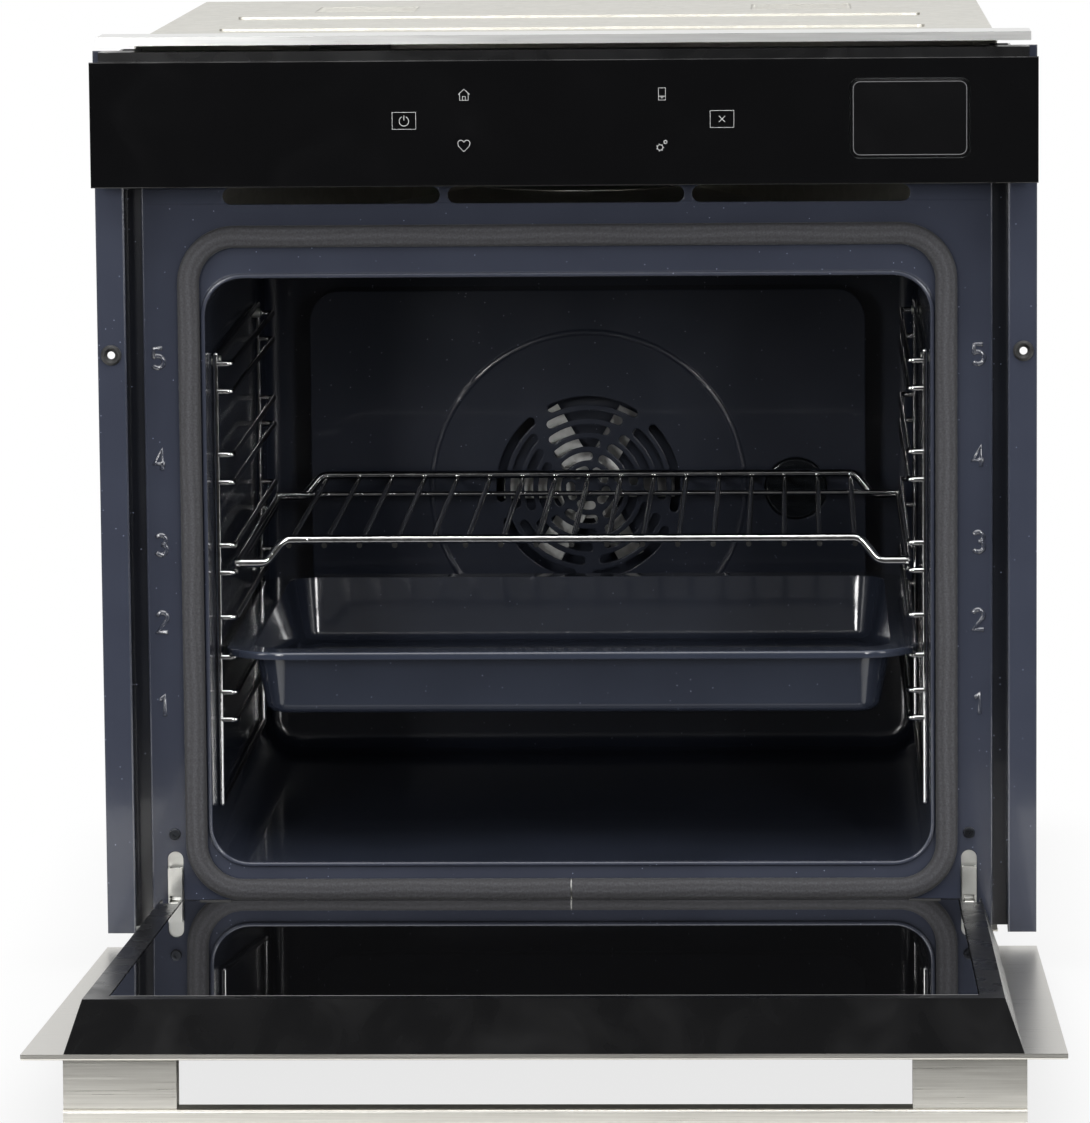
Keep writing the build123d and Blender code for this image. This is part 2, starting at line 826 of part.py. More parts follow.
def deep_tray():
    """Enamelled roasting tray with a rolled rim that lies on the runners."""
    top = tray_rim_z + tray_rim_height
    floor = tray_rim_z - tray_drop
    rim = Pos(0, tray_y) * RectangleRounded(2 * tray_half_width, tray_depth, tray_corner)
    rim = along_z(rim, tray_rim_z, top)
    rim = fillet(rim.faces().sort_by(Axis.Z)[-1].edges(), tray_rim_round)
    return rim + tray_well(0, floor, top) - tray_well(tray_wall, floor + tray_wall, top)


# Insulation, cooling and supply
def insulation():
    """Glass-wool jacket round the cavity, open at the front."""
    inner_half = half_mouth + enamel_sheet + wool_play
    inner_low = bottom_element_z - element_radius - wool_play
    inner_high = mouth_top + enamel_sheet + wool_play
    inner_back = cavity_outer_back + wool_play
    front = face_back + enamel_sheet
    back = inner_back + wool_back
    outer = block((-inner_half - wool_side, inner_half + wool_side), (front, back),
                  (wool_bottom, shield_z - wool_play))
    hollow = block((-inner_half, inner_half), (front - over, inner_back), (inner_low, inner_high))
    half = motor_plate_size / 2 + motor_hole_gap
    holes = [
        block((-half, half), (inner_back - over, back + over), (fan_z - half, fan_z + half)),
        round_y(lamp_x, lamp_z, lamp_radius + lamp_play, inner_back - over, back + over),
    ]
    for x, z in ((grill_leg_x, grill_z), (ring_heater_legs / 2, heater_leg_z)):
        for side in (-1, 1):
            holes.append(round_y(side * x, z, element_radius + wool_play, inner_back - over, back + over))
    return outer - hollow - holes


def heat_shield():
    """Sheet between the cavity's jacket and the cooling space."""
    return block((-casing_inner, casing_inner), (face_back + enamel_sheet, casing_depth - shield_rear_gap),
                 (shield_z, shield_top))


def air_duct():
    """Sheet duct that leads the cooling air to the slots over the door."""
    wall = casing_sheet
    reach = blower_y
    duct_front_half = slot_end_x + duct_lap
    outer = outline((-duct_front_half, face_back), (duct_front_half, face_back), (duct_rear_half, reach),
                    (-duct_rear_half, reach))
    inner = outline((-duct_front_half + wall, face_back - over), (duct_front_half - wall, face_back - over),
                    (duct_rear_half - wall, reach + over), (-duct_rear_half + wall, reach + over))
    tube = along_z(outer, shield_top, shield_top + duct_height)
    tube -= along_z(inner, shield_top + wall, shield_top + duct_height - wall)
    return tube - along_z(Pos(0, blower_y) * Circle(blower_radius + element_play), shield_top - over,
                          shield_top + duct_height + over)


blower_top = shield_top + blower_height


def blower_housing():
    """Drum of the cooling blower, with its inlet above and its outlet to the duct."""
    centre = Pos(0, blower_y)
    drum = along_z(centre * Circle(blower_radius), shield_top, blower_top)
    drum -= along_z(centre * Circle(blower_radius - blower_sheet), shield_top + blower_sheet,
                    blower_top - blower_sheet)
    spider = Rectangle(2 * inlet_radius, bridge_width) + Rectangle(bridge_width, 2 * inlet_radius)
    inlet = Circle(inlet_radius) - spider
    drum -= along_z(centre * inlet, blower_top - blower_sheet - over, blower_top + over)
    drum -= along_z(centre * Circle(shaft_radius + shaft_play), blower_top - blower_sheet - over,
                    blower_top + over)
    outlet_half = duct_rear_half - 2 * casing_sheet
    return drum - block((-outlet_half, outlet_half),
                        (blower_y - blower_radius - over, blower_y - blower_radius / 2),
                        (shield_top + blower_sheet, shield_top + duct_height - blower_sheet))


def blower_wheel():
    """Drum wheel of the cooling blower, with its shaft."""
    low = shield_top + blower_sheet + wheel_gap
    centre = Pos(0, blower_y)
    disc = along_z(centre * Circle(wheel_radius), low, low + blower_sheet)
    hub = along_z(centre * Circle(fan_hub_radius), low, low + wheel_blade_height)
    shaft = along_z(centre * Circle(shaft_radius), low, blower_top + blower_shaft_seat)
    blade = block((wheel_radius - wheel_blade_run, wheel_radius), (-fan_sheet / 2, fan_sheet / 2),
                  (low, low + wheel_blade_height))
    blades = [centre * Rot(0, 0, n * 360 / wheel_blades) * blade for n in range(wheel_blades)]
    return disc + hub + shaft + blades


def blower_motor():
    """Motor of the cooling blower, seated on the spider over the inlet."""
    centre = Pos(0, blower_y)
    can = along_z(centre * Circle(blower_motor_radius), blower_top, blower_top + blower_motor_height)
    return can - along_z(centre * Circle(shaft_radius + shaft_play), blower_top - over,
                         blower_top + blower_shaft_seat + shaft_end_gap)


def terminal_box():
    """Mains terminal box inside the rear cover, with a bored collar for the cable."""
    half = terminal_size / 2
    inside = casing_depth - casing_sheet
    centre = Pos(terminal_x, terminal_z)
    shell = block((terminal_x - half, terminal_x + half), (inside - terminal_depth, inside),
                  (terminal_z - terminal_height / 2, terminal_z + terminal_height / 2))
    collar = along_y(centre * Circle(inlet_collar), inside, casing_depth + inlet_reach)
    return shell + collar - along_y(centre * Circle(inlet_bore), inside - terminal_depth / 2,
                                    casing_depth + inlet_reach + over)


# Control panel and water drawer
def flap_opening():
    """Outline of the drawer flap with the gap round it."""
    width, height = flap_width + 2 * flap_gap, flap_height + 2 * flap_gap
    return rounded(width, height, flap_corner + flap_gap, drawer_x, drawer_z)


def fascia_glass():
    """Black glass front of the control panel, cut out for the drawer flap."""
    glass = block((-half_front, half_front), (-fascia_front, fascia_back), (fascia_bottom, fascia_top))
    glass = chamfer(glass.faces().sort_by(Axis.Y)[0].edges(), glass_chamfer)
    return glass - along_y(flap_opening(), -fascia_front - over, fascia_back + over)


def fascia_carrier():
    """Enamelled steel tray behind the glass, open at the back, fixed to the two side trims."""
    solid = block((-half_carrier, half_carrier), (fascia_back, -enamel_sheet), (fascia_bottom, carrier_top))
    inner = half_carrier - enamel_sheet
    hollow = block((-inner, inner), (carrier_back, 0),
                   (fascia_bottom + enamel_sheet, carrier_top - enamel_sheet))
    window = rounded(display_width + 2 * flap_gap, display_height + 2 * flap_gap, flap_gap, 0, drawer_z)
    window = along_y(window, fascia_back - over, carrier_back + over)
    drawer = along_y(flap_opening(), fascia_back - over, carrier_back + over)
    return solid - hollow - window - drawer


board_front = fascia_back + display_thick
collar_half = flap_width / 2 + 3 * housing_wall


def display_module():
    """Flat display behind the middle of the glass."""
    half_x, half_z = display_width / 2, display_height / 2
    return block((-half_x, half_x), (fascia_back, board_front), (drawer_z - half_z, drawer_z + half_z))


def control_board():
    """Circuit board on four stand-offs behind the carrier."""
    half_x, half_z = drawer_x - collar_half - board_gap, board_height / 2
    board = block((-half_x, half_x), (board_front, board_front + board_thick),
                  (drawer_z - half_z, drawer_z + half_z))
    x_post, z_post = half_x - board_post_inset, half_z - board_post_inset
    posts = [
        round_y(x, z, board_post_radius, carrier_back, board_front)
        for x in (-x_post, x_post)
        for z in (drawer_z - z_post, drawer_z + z_post)
    ]
    return board + posts


flap_back = -fascia_front + flap_thick
tank_back = flap_back + tank_length
tank_low = drawer_z - tank_height / 2


def water_drawer_flap():
    """Black flap, flush with the glass when the drawer is in."""
    flap = rounded(flap_width, flap_height, flap_corner, drawer_x, drawer_z)
    flap = along_y(flap, -fascia_front, flap_back)
    return chamfer(flap.faces().sort_by(Axis.Y)[0].edges(), glass_chamfer)


def water_tank():
    """Open-topped tank that slides out with the flap."""
    half = tank_width / 2
    solid = block((drawer_x - half, drawer_x + half), (flap_back, tank_back),
                  (tank_low, tank_low + tank_height))
    return solid - block((drawer_x - half + tank_wall, drawer_x + half - tank_wall),
                         (flap_back + tank_wall, tank_back - tank_wall),
                         (tank_low + tank_wall, tank_low + tank_height + over))


def drawer_housing():
    """Fixed sleeve that the tank runs in, with a collar on the carrier."""
    half = tank_width / 2 + 3 * slide_play
    low = tank_low - slide_play
    high = tank_low + tank_height + 3 * slide_play
    back = tank_back + 3 * slide_play
    outer = block((drawer_x - half - housing_wall, drawer_x + half + housing_wall),
                  (carrier_back, back + housing_wall), (low - housing_wall, high + housing_wall))
    collar_rise = flap_height / 2 + 3 * housing_wall
    collar = block((drawer_x - collar_half, drawer_x + collar_half),
                   (carrier_back, carrier_back + housing_wall),
                   (drawer_z - collar_rise, drawer_z + collar_rise))
    well = block((drawer_x - half, drawer_x + half), (carrier_back - over, back), (low, high))
    mouth = along_y(flap_opening(), carrier_back - over, flap_back + slide_play)
    return outer + collar - well - mouth


# Hinges, right side
def hinge_rod(y, z, half, radius):
    """A round bar along X, centred on the right hinge."""
    return rod((hinge_x - half, y, z), (hinge_x + half, y, z), radius)


def hinge_receiver():
    """Steel channel behind the face frame that holds the hinge arm on a roller."""
    half = arm_thick / 2 + 2 * cheek_gap
    out = half + receiver_sheet
    front = face_back
    back = front + receiver_length
    plate = block((hinge_x - out, hinge_x + out), (front, front + receiver_sheet),
                  (receiver_foot, frame_screw_z + receiver_rise))
    window = block((hinge_x - half, hinge_x + half), (front - over, front + receiver_sheet + over),
                   (receiver_foot + receiver_sheet, arm_heel + seat_gap))
    walls = [
        block((hinge_x + side * half, hinge_x + side * out)[::side], (front, back),
              (receiver_foot, hinge_slot_top))
        for side in (-1, 1)
    ]
    roller = hinge_rod(roller_y, roller_z, out, roller_radius)
    hole = round_y(hinge_x, frame_screw_z, screw_radius + screw_play,
                   front - over, front + receiver_sheet + over)
    return plate - window - hole + walls + roller


arm_heel = hinge_slot_top - arm_heel_drop
arm_end = face_back + receiver_length - arm_end_gap
roller_y = arm_end - roller_inset
roller_z = arm_foot - roller_radius - seat_gap


def hinge_arm():
    """Flat steel arm from the receiver to the hinge pin, with the stub that the lock clip turns on."""
    left, right = hinge_x - arm_thick / 2, hinge_x + arm_thick / 2
    knuckle = along_x(Pos(pivot_y, pivot_z) * Circle(knuckle_radius), left, right)
    neck_top = pivot_z + knuckle_radius
    rise = face_back + receiver_sheet + arm_shoulder
    land = clip_pivot_z + clip_land
    profile = outline((pivot_y, pivot_z - knuckle_radius), (face_setback, arm_neck), (rise, arm_foot),
                      (arm_end, arm_foot), (arm_end, arm_heel), (rise, arm_heel),
                      (face_back, land), (clip_pivot_y - clip_land_run, land),
                      (clip_pivot_y - neck_run, neck_top + clip_land), (pivot_y, neck_top))
    bore = along_x(Pos(pivot_y, pivot_z) * Circle(pin_radius + pin_play), left - over, right + over)
    stub_half = arm_thick / 2 + cheek_gap + clip_sheet
    stub = hinge_rod(clip_pivot_y, clip_pivot_z, stub_half, clip_pin_radius)
    return knuckle + along_x(profile, left, right) - bore + stub


def hinge_lock():
    """Bent stirrup that straddles the arm and stands in the slot while the door is locked on."""
    inner = arm_thick / 2 + cheek_gap
    outer = inner + clip_sheet
    half = clip_depth / 2
    low = clip_pivot_z - half
    legs = [
        block((hinge_x + side * inner, hinge_x + side * outer)[::side],
              (clip_pivot_y - half, clip_pivot_y + half), (low, hinge_slot_top - clip_drop))
        for side in (-1, 1)
    ]
    bridge = block((hinge_x - outer, hinge_x + outer),
                   (clip_pivot_y - half, clip_pivot_y - half + clip_sheet),
                   (clip_pivot_z + clip_bridge_rise, hinge_slot_top - clip_drop))
    bore = hinge_rod(clip_pivot_y, clip_pivot_z, outer + over, clip_pin_radius + pin_play)
    return legs[0] + legs[1] + bridge - bore


def frame_screw():
    """Screw that holds the receiver to the face frame."""
    centre = Pos(hinge_x, frame_screw_z)
    head = along_y(centre * Circle(screw_head_radius), face_setback - screw_head, face_setback)
    head = fillet(head.faces().sort_by(Axis.Y)[0].edges(), screw_head_round)
    shank = along_y(centre * Circle(screw_radius), face_setback, face_back + receiver_sheet + screw_tip)
    socket = along_y(centre * RegularPolygon(screw_socket_radius, 6), face_setback - screw_head - over,
                     face_setback - screw_socket_floor)
    return head + shank - socket


# Door, drawn shut
panel_inner = -fascia_front + door_panel_thick
door_inner = -fascia_front + door_thick
door_top = fascia_bottom - door_gap
rail_top = door_top - rail_end_gap - top_rail_height
rail_bottom = pivot_z + rail_start
casing_half = arm_thick / 2 + cheek_gap + cheek_thick
rail_inner_x = hinge_x - casing_half - rail_play - rail_wall
glass_y = door_inner - glass_thick


def box_side(y, shrink=0.0):
    """Half width of the tapered inner door box at a given depth."""
    share = (y - panel_inner) / (door_inner - panel_inner)
    return half_face + door_box_lap - share * door_box_taper - shrink


window_width = front_width - 2 * window_side
window_height = door_top - door_bottom - window_below - window_above
window_z = door_bottom + window_below + window_height / 2


def hinge_pin():
    """Pin through the casing cheeks and the arm."""
    return hinge_rod(pivot_y, pivot_z, casing_half, pin_radius)


def hinge_casing():
    """Channel inside the side rail whose two cheeks carry the hinge pin."""
    inner = arm_thick / 2 + cheek_gap
    back = panel_inner + rail_wall
    cheek_front = pivot_y + casing_cheek_reach
    top = pivot_z + casing_length
    web_start = pivot_z + casing_web_start
    profile = Pos(pivot_y, pivot_z) * Circle(knuckle_radius)
    profile += outline((pivot_y - knuckle_radius, pivot_z), (pivot_y + knuckle_radius, pivot_z),
                       (cheek_front, web_start), (cheek_front, top), (back, top), (back, web_start))
    cheeks = [
        along_x(profile, *(hinge_x + side * inner, hinge_x + side * casing_half)[::side])
        for side in (-1, 1)
    ]
    across = (hinge_x - casing_half, hinge_x + casing_half)
    web = block(across, (back, back + cheek_thick), (web_start, top))
    cap = block(across, (back, cheek_front), (top - cheek_thick, top))
    bore = hinge_rod(pivot_y, pivot_z, casing_half + over, pin_radius)
    return cheeks[0] + cheeks[1] + web + cap - bore


def hinge_spring():
    """Closed-wound balance spring inside the casing, as its plain outer tube."""
    top = pivot_z + casing_length - cheek_thick
    y = panel_inner + rail_wall + cheek_thick + spring_radius + seat_gap
    spring = rod((hinge_x, y, top - spring_length), (hinge_x, y, top), spring_radius)
    return spring - rod((hinge_x, y, top - spring_length - over), (hinge_x, y, top + over), spring_bore)


def door_panel():
    """Stainless outer panel with the window opening."""
    plate = block((-half_front, half_front), (-fascia_front, panel_inner), (door_bottom, door_top))
    plate = fillet(plate.faces().sort_by(Axis.Y)[0].edges(), panel_round)
    window = rounded(window_width, window_height, window_corner, 0, window_z)
    holes = [along_y(window, -fascia_front - over, panel_inner + over)]
    for x in handle_screw_x:
        holes.append(round_y(x, handle_z, screw_radius + screw_play,
                             -fascia_front - over, panel_inner + over))
    return plate - holes


def door_outer_glass():
    """Dark window glass bonded behind the panel."""
    return along_y(rounded(window_width + 2 * window_lap, window_height + 2 * window_lap,
                           window_corner + window_lap, 0, window_z), panel_inner, panel_inner + glass_thick)


def door_middle_glass():
    """Clear middle pane on the lower ledges of the rails."""
    half = rail_inner_x - glass_play
    return block((-half, half), (middle_glass_y, middle_glass_y + glass_thick),
                 (bottom_rail_top + glass_play, rail_top - glass_play))


def door_inner_glass():
    """Black-edged inner pane, level with the rails."""
    half = rail_inner_x - glass_play
    glass = block((-half, half), (glass_y, door_inner),
                  (bottom_rail_top + glass_play, rail_top - glass_play))
    return chamfer(glass.faces().sort_by(Axis.Y)[-1].edges(), glass_chamfer)


def door_side_rail():
    """Right hollow rail of the inner door, slanted outside, with ledges for the panes."""
    outer = outline((rail_inner_x, panel_inner), (box_side(panel_inner), panel_inner),
                    (box_side(door_inner), door_inner), (rail_inner_x, door_inner))
    low, high = panel_inner + rail_wall, door_inner - rail_wall
    inner = outline((rail_inner_x + rail_wall, low), (box_side(low, rail_wall), low),
                    (box_side(high, rail_wall), high), (rail_inner_x + rail_wall, high))
    rail = along_z(outer - inner, rail_bottom, rail_top)
    for y in (glass_y - glass_play, middle_glass_y - glass_play):
        rail += block((rail_inner_x - glass_ledge, rail_inner_x), (y - rail_wall, y),
                      (rail_bottom, rail_top))
    notch = block((rail_inner_x + rail_wall, box_side(high, rail_wall)), (0, door_inner + over),
                  (rail_bottom - over, pivot_z + arm_notch))
    return rail - notch


bottom_rail_top = rail_bottom + bottom_rail_height


def door_bottom_rail():
    """Cross channel at the hinge end that the panes stand on."""
    half = rail_inner_x
    solid = block((-half, half), (panel_inner, door_inner), (rail_bottom, bottom_rail_top))
    hollow = block((-half - over, half + over), (panel_inner + rail_wall, door_inner - rail_wall),
                   (rail_bottom - over, bottom_rail_top - rail_wall))
    ledges = [
        block((side * (half - glass_ledge), side * half)[::side],
              (y - rail_wall - glass_play, y + glass_play), (rail_bottom - over, bottom_rail_top + over))
        for y in (glass_y - glass_play, middle_glass_y - glass_play)
        for side in (-1, 1)
    ]
    return solid - hollow - ledges


def door_top_rail():
    """Black end cap of the inner door, tapered like the rails."""
    low, top = rail_top, rail_top + top_rail_height
    outer = outline((-box_side(panel_inner), panel_inner), (box_side(panel_inner), panel_inner),
                    (box_side(door_inner), door_inner), (-box_side(door_inner), door_inner))
    near, far = panel_inner + rail_wall, door_inner - rail_wall
    inner = outline((-box_side(near, rail_wall), near), (box_side(near, rail_wall), near),
                    (box_side(far, rail_wall), far), (-box_side(far, rail_wall), far))
    return along_z(outer, low, top) - along_z(inner, low - over, top - rail_wall)


half_handle = half_front - handle_inset
post_x = half_handle - handle_post_width / 2
handle_z = door_top - handle_drop
handle_screw_first = half_handle - handle_screw_inset
handle_screw_x = [side * (handle_screw_first + n * handle_screw_spread) for side in (-1, 1) for n in (0, 1)]
post_front = -fascia_front - handle_standoff


def handle_post():
    """Right stand-off block of the handle."""
    half = handle_post_width / 2
    post = block((post_x - half, post_x + half), (post_front, -fascia_front),
                 (handle_z - handle_post_height / 2, handle_z + handle_post_height / 2))
    holes = [
        round_y(x, handle_z, screw_radius + screw_play,
                -fascia_front - handle_screw_reach - handle_hole_extra, 0)
        for x in handle_screw_x if x > 0
    ]
    return post - holes


def handle_bar():
    """Flat stainless bar across both posts."""
    bar = block((-half_handle, half_handle), (post_front - handle_bar_thick, post_front),
                (handle_z - handle_bar_height / 2, handle_z + handle_bar_height / 2))
    return fillet(bar.edges().filter_by(Axis.X), handle_round)


def handle_screws():
    """Four screws from inside the panel into the posts."""
    screws = []
    for x in handle_screw_x:
        head = round_y(x, handle_z, screw_head_radius, panel_inner, panel_inner + screw_head)
        shank = round_y(x, handle_z, screw_radius, -fascia_front - handle_screw_reach, panel_inner)
        screws.append(head + shank)
    return Compound(children=screws)


fixed_pieces = {
    "base_plate": base_plate(),
    "side_panel_left": mirrored(side_panel()),
    "side_panel_right": side_panel(),
    "rear_cover": rear_cover(),
    "top_cover": top_cover(),
    "top_trim": top_trim(),
    "side_trim_left": mirrored(side_trim()),
    "side_trim_right": side_trim(),
    "niche_bushes": pair(niche_bush()),
    "face_frame": face_frame(),
    "door_gasket": door_gasket(),
    "cavity": cavity(),
    "fan_cover": fan_cover(),
    "convection_fan": convection_fan(),
    "fan_shaft": fan_shaft(),
    "fan_motor": fan_motor(),
    "ring_heater": ring_heater(),
    "grill_element": grill_element(),
    "bottom_element": bottom_element(),
    "lamp_glass": lamp_glass(),
    "lamp_holder": lamp_holder(),
    "lamp_bulb": lamp_bulb(),
    "side_rack_left": mirrored(side_rack()),
    "side_rack_right": side_rack(),
    "rack_studs": rack_studs(),
    "wire_shelf": wire_shelf(),
    "deep_tray": deep_tray(),
    "insulation": insulation(),
    "heat_shield": heat_shield(),
    "air_duct": air_duct(),
    "blower_housing": blower_housing(),
    "blower_wheel": blower_wheel(),
    "blower_motor": blower_motor(),
    "terminal_box": terminal_box(),
    "fascia_glass": fascia_glass(),
    "fascia_carrier": fascia_carrier(),
    "display_module": display_module(),
    "control_board": control_board(),
    "water_drawer_flap": water_drawer_flap(),
    "water_tank": water_tank(),
    "drawer_housing": drawer_housing(),
    "hinge_receivers": pair(hinge_receiver()),
    "hinge_arms": pair(hinge_arm()),
    "hinge_lock_left": mirrored(hinge_lock()),
    "hinge_lock_right": hinge_lock(),
    "frame_screws": pair(frame_screw()),
}

door_pieces = {
    "hinge_pins": pair(hinge_pin()),
    "hinge_casings": pair(hinge_casing()),
    "hinge_springs": pair(hinge_spring()),
    "door_panel": door_panel(),
    "door_outer_glass": door_outer_glass(),
    "door_middle_glass": door_middle_glass(),
    "door_inner_glass": door_inner_glass(),
    "door_side_rail_left": mirrored(door_side_rail()),
    "door_side_rail_right": door_side_rail(),
    "door_bottom_rail": door_bottom_rail(),
    "door_top_rail": door_top_rail(),
    "handle_posts": pair(handle_post()),
    "handle_bar": handle_bar(),
    "handle_screws": handle_screws(),
}

os.makedirs("parts", exist_ok=True)
for name, piece in fixed_pieces.items():
    export_step(piece, f"parts/{name}.step")
for name, piece in door_pieces.items():
    export_step(piece.rotate(hinge_axis, door_open_angle), f"parts/{name}.step")
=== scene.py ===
"""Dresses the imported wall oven: materials on its sheets, glass and wire, and the fine pieces on top."""
import math

import bpy
from mathutils import Matrix, Vector


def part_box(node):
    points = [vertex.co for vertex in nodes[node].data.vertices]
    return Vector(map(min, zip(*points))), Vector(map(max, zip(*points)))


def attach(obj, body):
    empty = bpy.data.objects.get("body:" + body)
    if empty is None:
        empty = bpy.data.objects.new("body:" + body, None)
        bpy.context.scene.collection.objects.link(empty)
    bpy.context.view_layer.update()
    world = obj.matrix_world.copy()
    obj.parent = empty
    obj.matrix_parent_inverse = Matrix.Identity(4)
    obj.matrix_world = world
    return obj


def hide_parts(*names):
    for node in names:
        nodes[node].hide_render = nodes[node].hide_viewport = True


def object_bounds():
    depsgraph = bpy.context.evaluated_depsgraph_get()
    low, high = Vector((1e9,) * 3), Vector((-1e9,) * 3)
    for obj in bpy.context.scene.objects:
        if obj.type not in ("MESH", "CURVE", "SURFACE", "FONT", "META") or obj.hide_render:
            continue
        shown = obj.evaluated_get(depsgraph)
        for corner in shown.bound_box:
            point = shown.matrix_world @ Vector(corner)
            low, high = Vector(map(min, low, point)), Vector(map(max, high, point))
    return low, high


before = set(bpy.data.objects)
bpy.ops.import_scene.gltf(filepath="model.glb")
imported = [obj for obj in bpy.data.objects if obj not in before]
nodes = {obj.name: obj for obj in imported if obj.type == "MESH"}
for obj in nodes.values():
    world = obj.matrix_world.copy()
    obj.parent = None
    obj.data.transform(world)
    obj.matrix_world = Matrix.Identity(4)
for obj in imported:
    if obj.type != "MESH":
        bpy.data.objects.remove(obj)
cad_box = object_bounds()


# Casing: floor, two sides, back and top, folded from one millimetre steel sheet.
# The sheet is hot-dip galvanised, so zinc crystals of some millimetres show as a faint patchwork.
# The sheets are spot welded and screwed together behind the front frame.
def linear(code):
    """An sRGB hex colour as linear red, green, blue and full alpha."""
    channels = [int(code[i:i + 2], 16) / 255 for i in (1, 3, 5)]
    return tuple(c / 12.92 if c <= 0.04045 else ((c + 0.055) / 1.055) ** 2.4 for c in channels) + (1.0,)


def add(material, kind, inputs=None, **settings):
    """One node with its settings; an input is a value, or the socket that feeds it."""
    made = material.node_tree.nodes.new("ShaderNode" + kind)
    for key, value in settings.items():
        setattr(made, key, value)
    for key, value in (inputs or {}).items():
        if isinstance(value, bpy.types.NodeSocket):
            material.node_tree.links.new(value, made.inputs[key])
        else:
            made.inputs[key].default_value = value
    return made


def finish(name, **sockets):
    """A new material with its even values on the shader, the shader itself, and places in metres."""
    material = bpy.data.materials.new(name)
    material.use_nodes = True
    shader = material.node_tree.nodes["Principled BSDF"]
    for key, value in sockets.items():
        shader.inputs[key.replace("_", " ")].default_value = value
    place = add(material, "TexCoord").outputs["Object"]
    return material, shader, place


def feed(material, shader, **sockets):
    """Links outputs to the shader's inputs by name."""
    for key, value in sockets.items():
        material.node_tree.links.new(value, shader.inputs[key.replace("_", " ")])


def dress(material, *names):
    """Puts a material on CAD nodes."""
    for name in names:
        mesh = nodes[name].data
        mesh.materials.clear()
        mesh.materials.append(material)
        for face in mesh.polygons:
            face.material_index = 0


# Hot-dip galvanised steel: pale zinc with crystals that differ a little in tone and gloss.
galvanised, shader, place = finish("galvanised_steel", Metallic=1.0)
crystal_mm = 6.0
crystals = add(galvanised, "TexVoronoi", {"Vector": place, "Scale": 1000 / crystal_mm}, feature="F1")
tone = add(galvanised, "SeparateColor", {"Color": crystals.outputs["Color"]})
zinc = add(galvanised, "Mix", {"Factor": tone.outputs["Red"], "A": linear("#C6C4BC"),
                               "B": linear("#D0CEC6")}, data_type="RGBA")
gloss = add(galvanised, "MapRange", {"Value": tone.outputs["Green"], "To Min": 0.38, "To Max": 0.45})
grains_per_metre = 900.0
grain = add(galvanised, "TexNoise", {"Vector": place, "Scale": grains_per_metre, "Detail": 3.0})
relief = add(galvanised, "Bump", {"Height": grain.outputs["Fac"], "Strength": 0.05, "Distance": 0.0004})
feed(galvanised, shader, Base_Color=zinc.outputs["Result"], Roughness=gloss.outputs["Result"],
     Normal=relief.outputs["Normal"])
dress(galvanised, "base_plate", "side_panel_left", "side_panel_right", "rear_cover", "top_cover",
      "heat_shield", "air_duct", "blower_housing")


# Top trim: a bright folded strip that closes the gap between the control panel and the cabinet.
# It is stainless sheet, ground along its length and clipped over the front edge of the top cover.
# Ground stainless steel: fine lines along X that draw reflections out sideways.
def brushed(name, light, dark, roughness, along):
    """Stainless steel ground along one axis; the lines are drawn coarse enough to show."""
    metal, bsdf, where = finish(name, Metallic=1.0)
    line_mm, run_mm = 0.5, 60.0
    stretch = [1000 / line_mm] * 3
    stretch[along] = 1000 / run_mm
    drawn = add(metal, "Mapping", {"Vector": where, "Scale": stretch})
    lines = add(metal, "TexNoise", {"Vector": drawn.outputs["Vector"], "Scale": 1.0, "Detail": 2.0})
    steel = add(metal, "Mix", {"Factor": lines.outputs["Fac"], "A": linear(dark), "B": linear(light)},
                data_type="RGBA")
    sheen = add(metal, "MapRange", {"Value": lines.outputs["Fac"], "To Min": roughness - 0.06,
                                    "To Max": roughness + 0.06})
    scratch = add(metal, "Bump", {"Height": lines.outputs["Fac"], "Strength": 0.06, "Distance": 0.0002})
    feed(metal, bsdf, Base_Color=steel.outputs["Result"], Roughness=sheen.outputs["Result"],
         Normal=scratch.outputs["Normal"])
    return metal


trim_steel = brushed("ground_stainless_trim", "#EDEDEB", "#D6D6D4", 0.3, 0)
dress(trim_steel, "top_trim")


